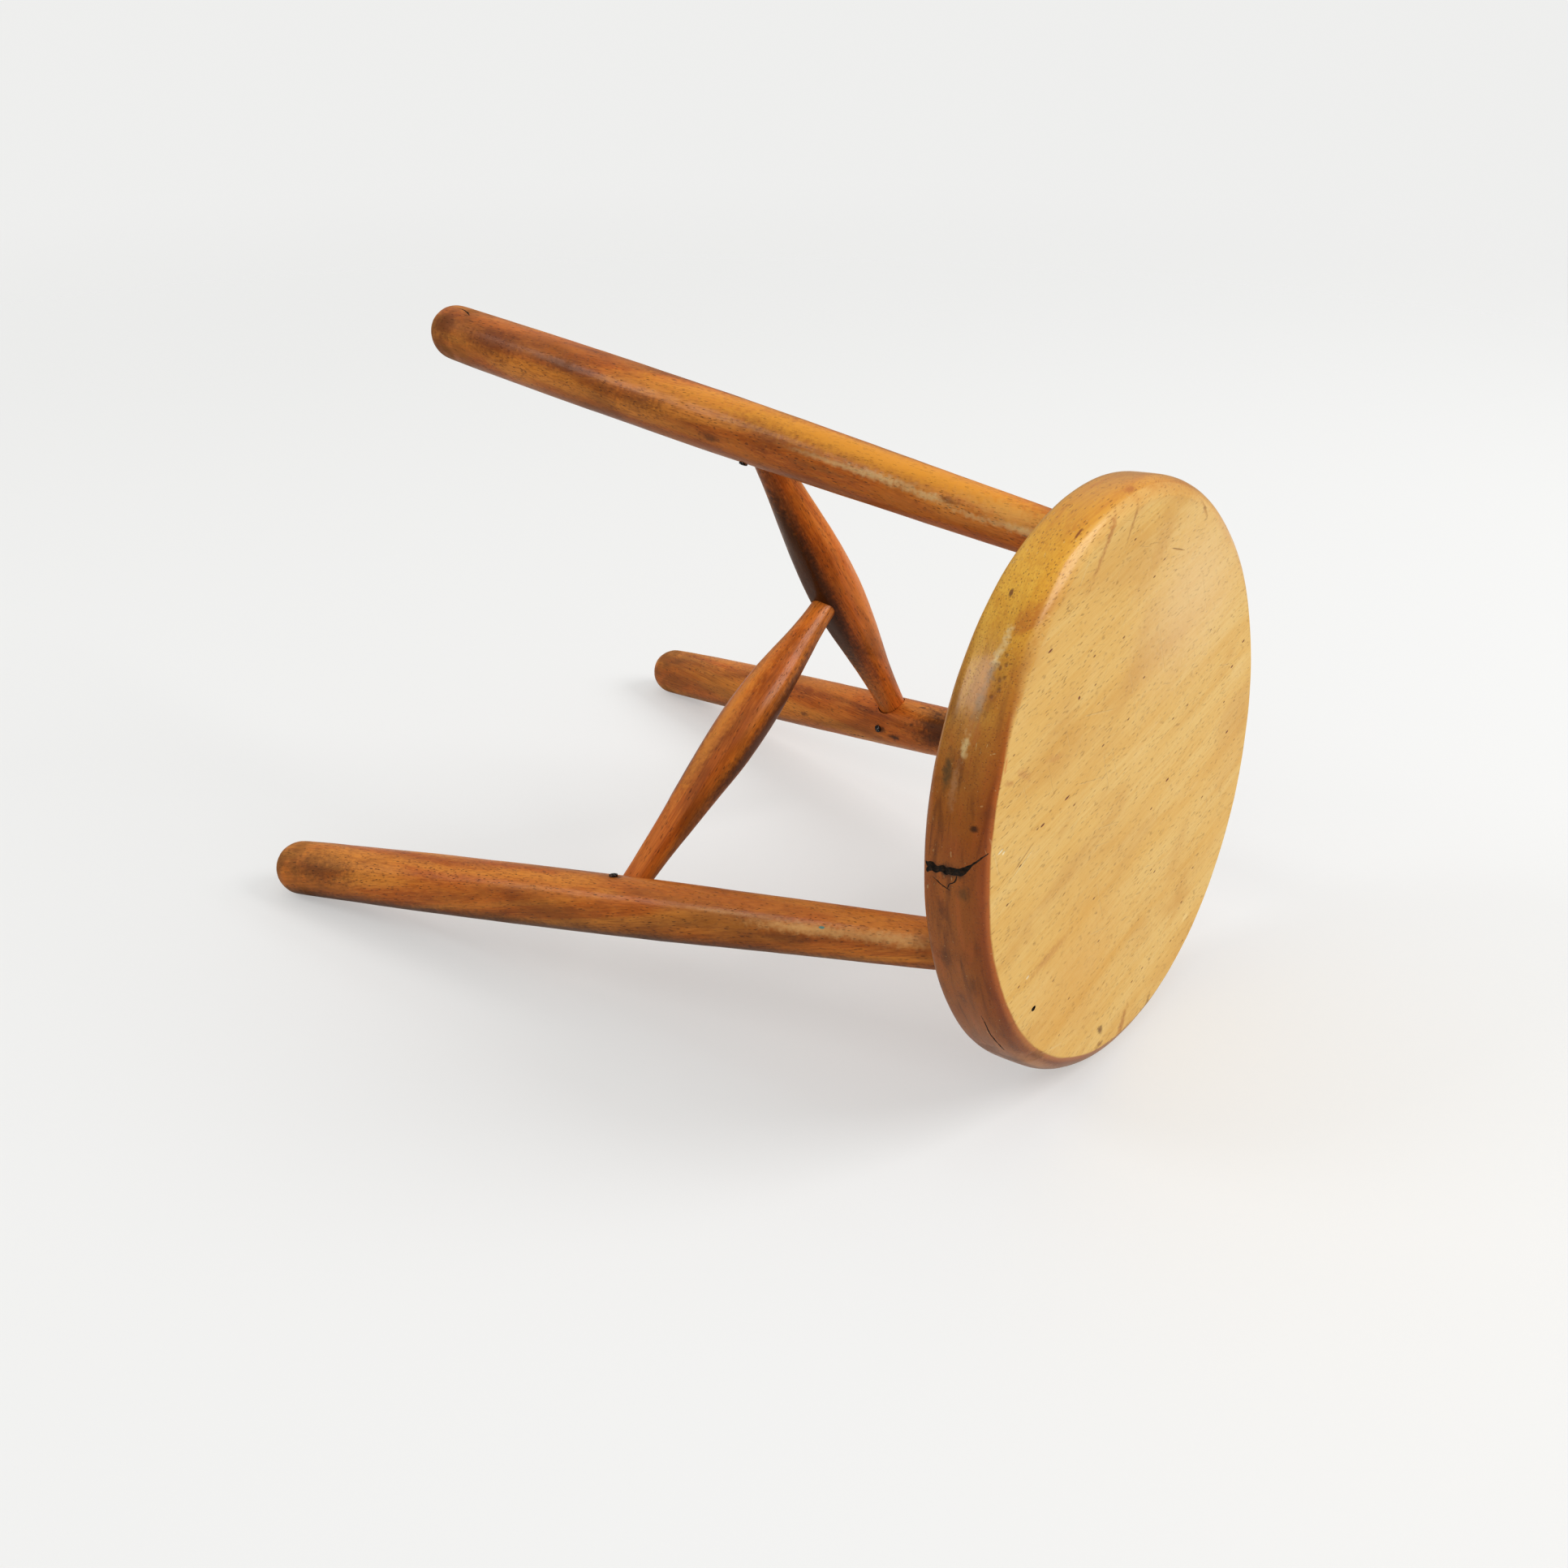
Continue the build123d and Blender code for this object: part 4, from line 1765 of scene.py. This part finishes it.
@dataclass(frozen=True)
class Window:
    """One large soft light.

    Attributes:
        name: Its name.
        direction: Where it stands as seen from the stool.
        distance: How far away it is.
        size: Its width.
        power: Its power in watts.
    """

    name: str
    direction: tuple[float, float, float]
    distance: float
    size: float
    power: float


@dataclass
class Studio:
    """Pale floor, soft lights and the camera."""

    camera_place: tuple[float, float, float] = (0.5867, 0.4071, 0.7477)
    azimuth: float = 121.426
    elevation: float = 34.72
    roll: float = 104.47
    lens: float = 37.7
    sensor: float = 36.0
    gamma: float = 0.85
    floor_radius: float = 2.4
    floor_guess: tuple[float, float, float] = (-0.89, 0.45, -0.10)
    floor_tries: int = 12
    white: Colour = tint(255, 255, 254)
    windows: tuple[Window, ...] = (
        Window("right window", (0.30, -0.60, 0.74), 3.2, 1.5, 52.0),
        Window("left window", (0.86, 0.16, -0.48), 3.2, 1.0, 17.0),
    )
    backdrop: Colour = tint(241, 241, 240)
    ceiling: tuple[float, float, float] = (0.888, -0.447, 0.106)
    ceiling_light: float = 0.85
    shade_light: float = 0.15

    def floor(self, rests: Sequence[Piece]) -> None:
        """Lays the floor under the three places where the overturned stool touches it.

        Args:
            rests: The three pieces that touch the floor.
        """
        normal = Vector(self.floor_guess).normalized()
        for _ in range(self.floor_tries):
            points = [max((v.co for v in p.data.vertices), key=normal.dot) for p in rests]
            found = (points[1] - points[0]).cross(points[2] - points[0]).normalized()
            normal = found if found.dot(normal) > 0 else -found
        centre = sum(points, Vector()) / 3
        Bench.clear()
        turn = UP.rotation_difference(-normal).to_euler()
        bpy.ops.mesh.primitive_circle_add(
            vertices=96, radius=self.floor_radius, fill_type="NGON", location=centre, rotation=turn
        )
        floor = bpy.context.object
        floor.name = "studio_floor"
        floor.data.materials.append(self._floor_finish())
        log.info("floor: normal %s, offset %.4f", tuple(round(n, 4) for n in normal), normal.dot(centre))

    def _floor_finish(self) -> bpy.types.Material:
        """Matt off-white with a glow of its own, that fades out at the edge and from behind.

        Returns:
            The material.
        """
        material = bpy.data.materials.new("studio floor")
        material.use_nodes = True
        tree = Tree(material.node_tree)
        tree.nodes.nodes.clear()
        place = tree.add("TexCoord", {}).outputs["Object"]
        away = tree.add("VectorMath", {0: place}, operation="LENGTH").outputs["Value"]
        solid = tree.step(away, self.floor_radius * 0.98, self.floor_radius * 0.35)
        front = tree.minus(1.0, tree.add("NewGeometry", {}).outputs["Backfacing"])
        solid = tree.times(solid, front)
        bounce = tree.add("BsdfDiffuse", {"Color": tint(192, 192, 188)}).outputs[0]
        # Painted light: for all rays but the camera's the floor glows a little, lighting the stool where it
        # touches the floor.
        soft = tree.add("Emission", {"Color": self.white, "Strength": 0.12}).outputs[0]
        bounce = tree.add("AddShader", {0: bounce, 1: soft}).outputs[0]
        matt = tree.add("BsdfDiffuse", {"Color": tint(172, 172, 172)}).outputs[0]
        # Painted light: the floor glows as the camera sees it, which lightens the shadows cast on it.
        glow = tree.add("Emission", {"Color": self.white, "Strength": 0.45}).outputs[0]
        matt = tree.add("AddShader", {0: matt, 1: glow}).outputs[0]
        camera = tree.add("LightPath", {}).outputs["Is Camera Ray"]
        matt = tree.add("MixShader", {0: camera, 1: bounce, 2: matt}).outputs[0]
        clear = tree.add("BsdfTransparent", {}).outputs[0]
        mixed = tree.add("MixShader", {0: solid, 1: clear, 2: matt})
        tree.add("OutputMaterial", {"Surface": mixed.outputs[0]})
        return material

    def light(self) -> None:
        """Sets the windows and a pale room that is brighter towards its ceiling."""
        centre = Vector(CAD_BOX[0] + CAD_BOX[1]) / 2
        for window in self.windows:
            aim = Vector(window.direction).normalized()
            data = bpy.data.lights.new(window.name, "AREA")
            data.shape = "SQUARE"
            data.size = window.size
            data.energy = window.power
            lamp = bpy.data.objects.new(window.name, data)
            lamp.location = centre + aim * window.distance
            lamp.rotation_euler = aim.to_track_quat("Z", "Y").to_euler()
            bpy.context.scene.collection.objects.link(lamp)
        world = bpy.data.worlds.new("studio")
        bpy.context.scene.world = world
        world.use_nodes = True
        tree = Tree(world.node_tree)
        tree.nodes.nodes.clear()
        look = tree.add("TexCoord", {}).outputs["Generated"]
        rise = tree.add("VectorMath", {0: look, 1: self.ceiling}, operation="DOT_PRODUCT").outputs["Value"]
        glow = tree.step(rise, -0.5, 1.0, self.shade_light, self.ceiling_light)
        seen = tree.add("Background", {"Color": self.backdrop, "Strength": 1.0}).outputs[0]
        lit = tree.add("Background", {"Color": tint(255, 255, 253), "Strength": glow}).outputs[0]
        camera = tree.add("LightPath", {}).outputs["Is Camera Ray"]
        mixed = tree.add("MixShader", {0: camera, 1: lit, 2: seen})
        tree.add("OutputWorld", {"Surface": mixed.outputs[0]})

    def camera(self) -> None:
        """Places the camera and sets how its picture is shown."""
        turn, rise, roll = (math.radians(a) for a in (self.azimuth, self.elevation, self.roll))
        back = Vector((math.sin(turn) * math.cos(rise), -math.cos(turn) * math.cos(rise), math.sin(rise)))
        level = Vector((math.cos(turn), math.sin(turn), 0.0))
        upright = back.cross(level)
        right = level * math.cos(roll) + upright * math.sin(roll)
        data = bpy.data.cameras.new("camera")
        data.lens = self.lens
        data.sensor_width = self.sensor
        camera = bpy.data.objects.new("camera", data)
        facing = Matrix((right, back.cross(right), back)).transposed().to_4x4()
        camera.matrix_world = Matrix.Translation(self.camera_place) @ facing
        bpy.context.scene.collection.objects.link(camera)
        bpy.context.scene.camera = camera
        bpy.context.scene.view_settings.view_transform = "Standard"
        bpy.context.scene.view_settings.gamma = self.gamma


@dataclass
class Stool:
    """The whole stool: seat, legs, stretchers and nails."""

    effects: Effects = field(default_factory=Effects)
    pieces: dict[str, Piece] = field(default_factory=dict)

    def build(self) -> None:
        """Makes every piece in order."""
        inside = SplitFinish().dress()
        cross = Stretcher(
            "cross_stretcher", Vector((-1.0, 0.0, 0.0)), 8.2 * MM, 15.2 * MM, 0.49, (0.90, 0.90),
            STRETCHER_VARNISH, 11.0, spots=CROSS_SPOTS,
        )
        centre = Stretcher(
            "centre_stretcher", Vector((0.0, 1.0, 0.0)), 7.0 * MM, 13.8 * MM, 0.40, (0.68, 1.15),
            STRETCHER_VARNISH, 17.0, spots=CENTRE_SPOTS,
        )
        self.pieces["cross"] = cross.build([centre.socket(False)], self.effects)
        self.pieces["centre"] = centre.build([], self.effects)
        legs = {
            "back": Leg("back", LEG_VARNISH, 1.0, spots=BACK_SPOTS),
            "right": Leg("right", LEG_VARNISH, 5.0, spots=RIGHT_SPOTS, splits=RIGHT_SPLITS),
            "left": Leg("left", LEG_VARNISH, 8.0, spots=LEFT_SPOTS, splits=LEFT_SPLITS),
        }
        ends = {"back": (centre, True), "right": (cross, False), "left": (cross, True)}
        for name, leg in legs.items():
            bar, far_end = ends[name]
            self.pieces[name] = leg.build([bar.socket(far_end)], self.effects, inside)
        bits = [leg.bit() for leg in legs.values()]
        self.pieces["seat"] = Seat().build(bits, self.effects, inside)
        steel = NailFinish().dress()
        for name in legs:
            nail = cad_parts["nail_" + name]
            nail.data.materials.clear()
            nail.data.materials.append(steel)
            log.info("nail_%s: dressed in steel", name)


def main() -> None:
    """Builds the stool and the studio."""
    logging.basicConfig(level=logging.INFO, format="%(name)s: %(message)s")
    stool = Stool()
    stool.build()
    studio = Studio()
    studio.floor([stool.pieces["left"], stool.pieces["back"], stool.pieces["seat"]])
    studio.light()
    studio.camera()


if __name__ == "__main__":
    main()
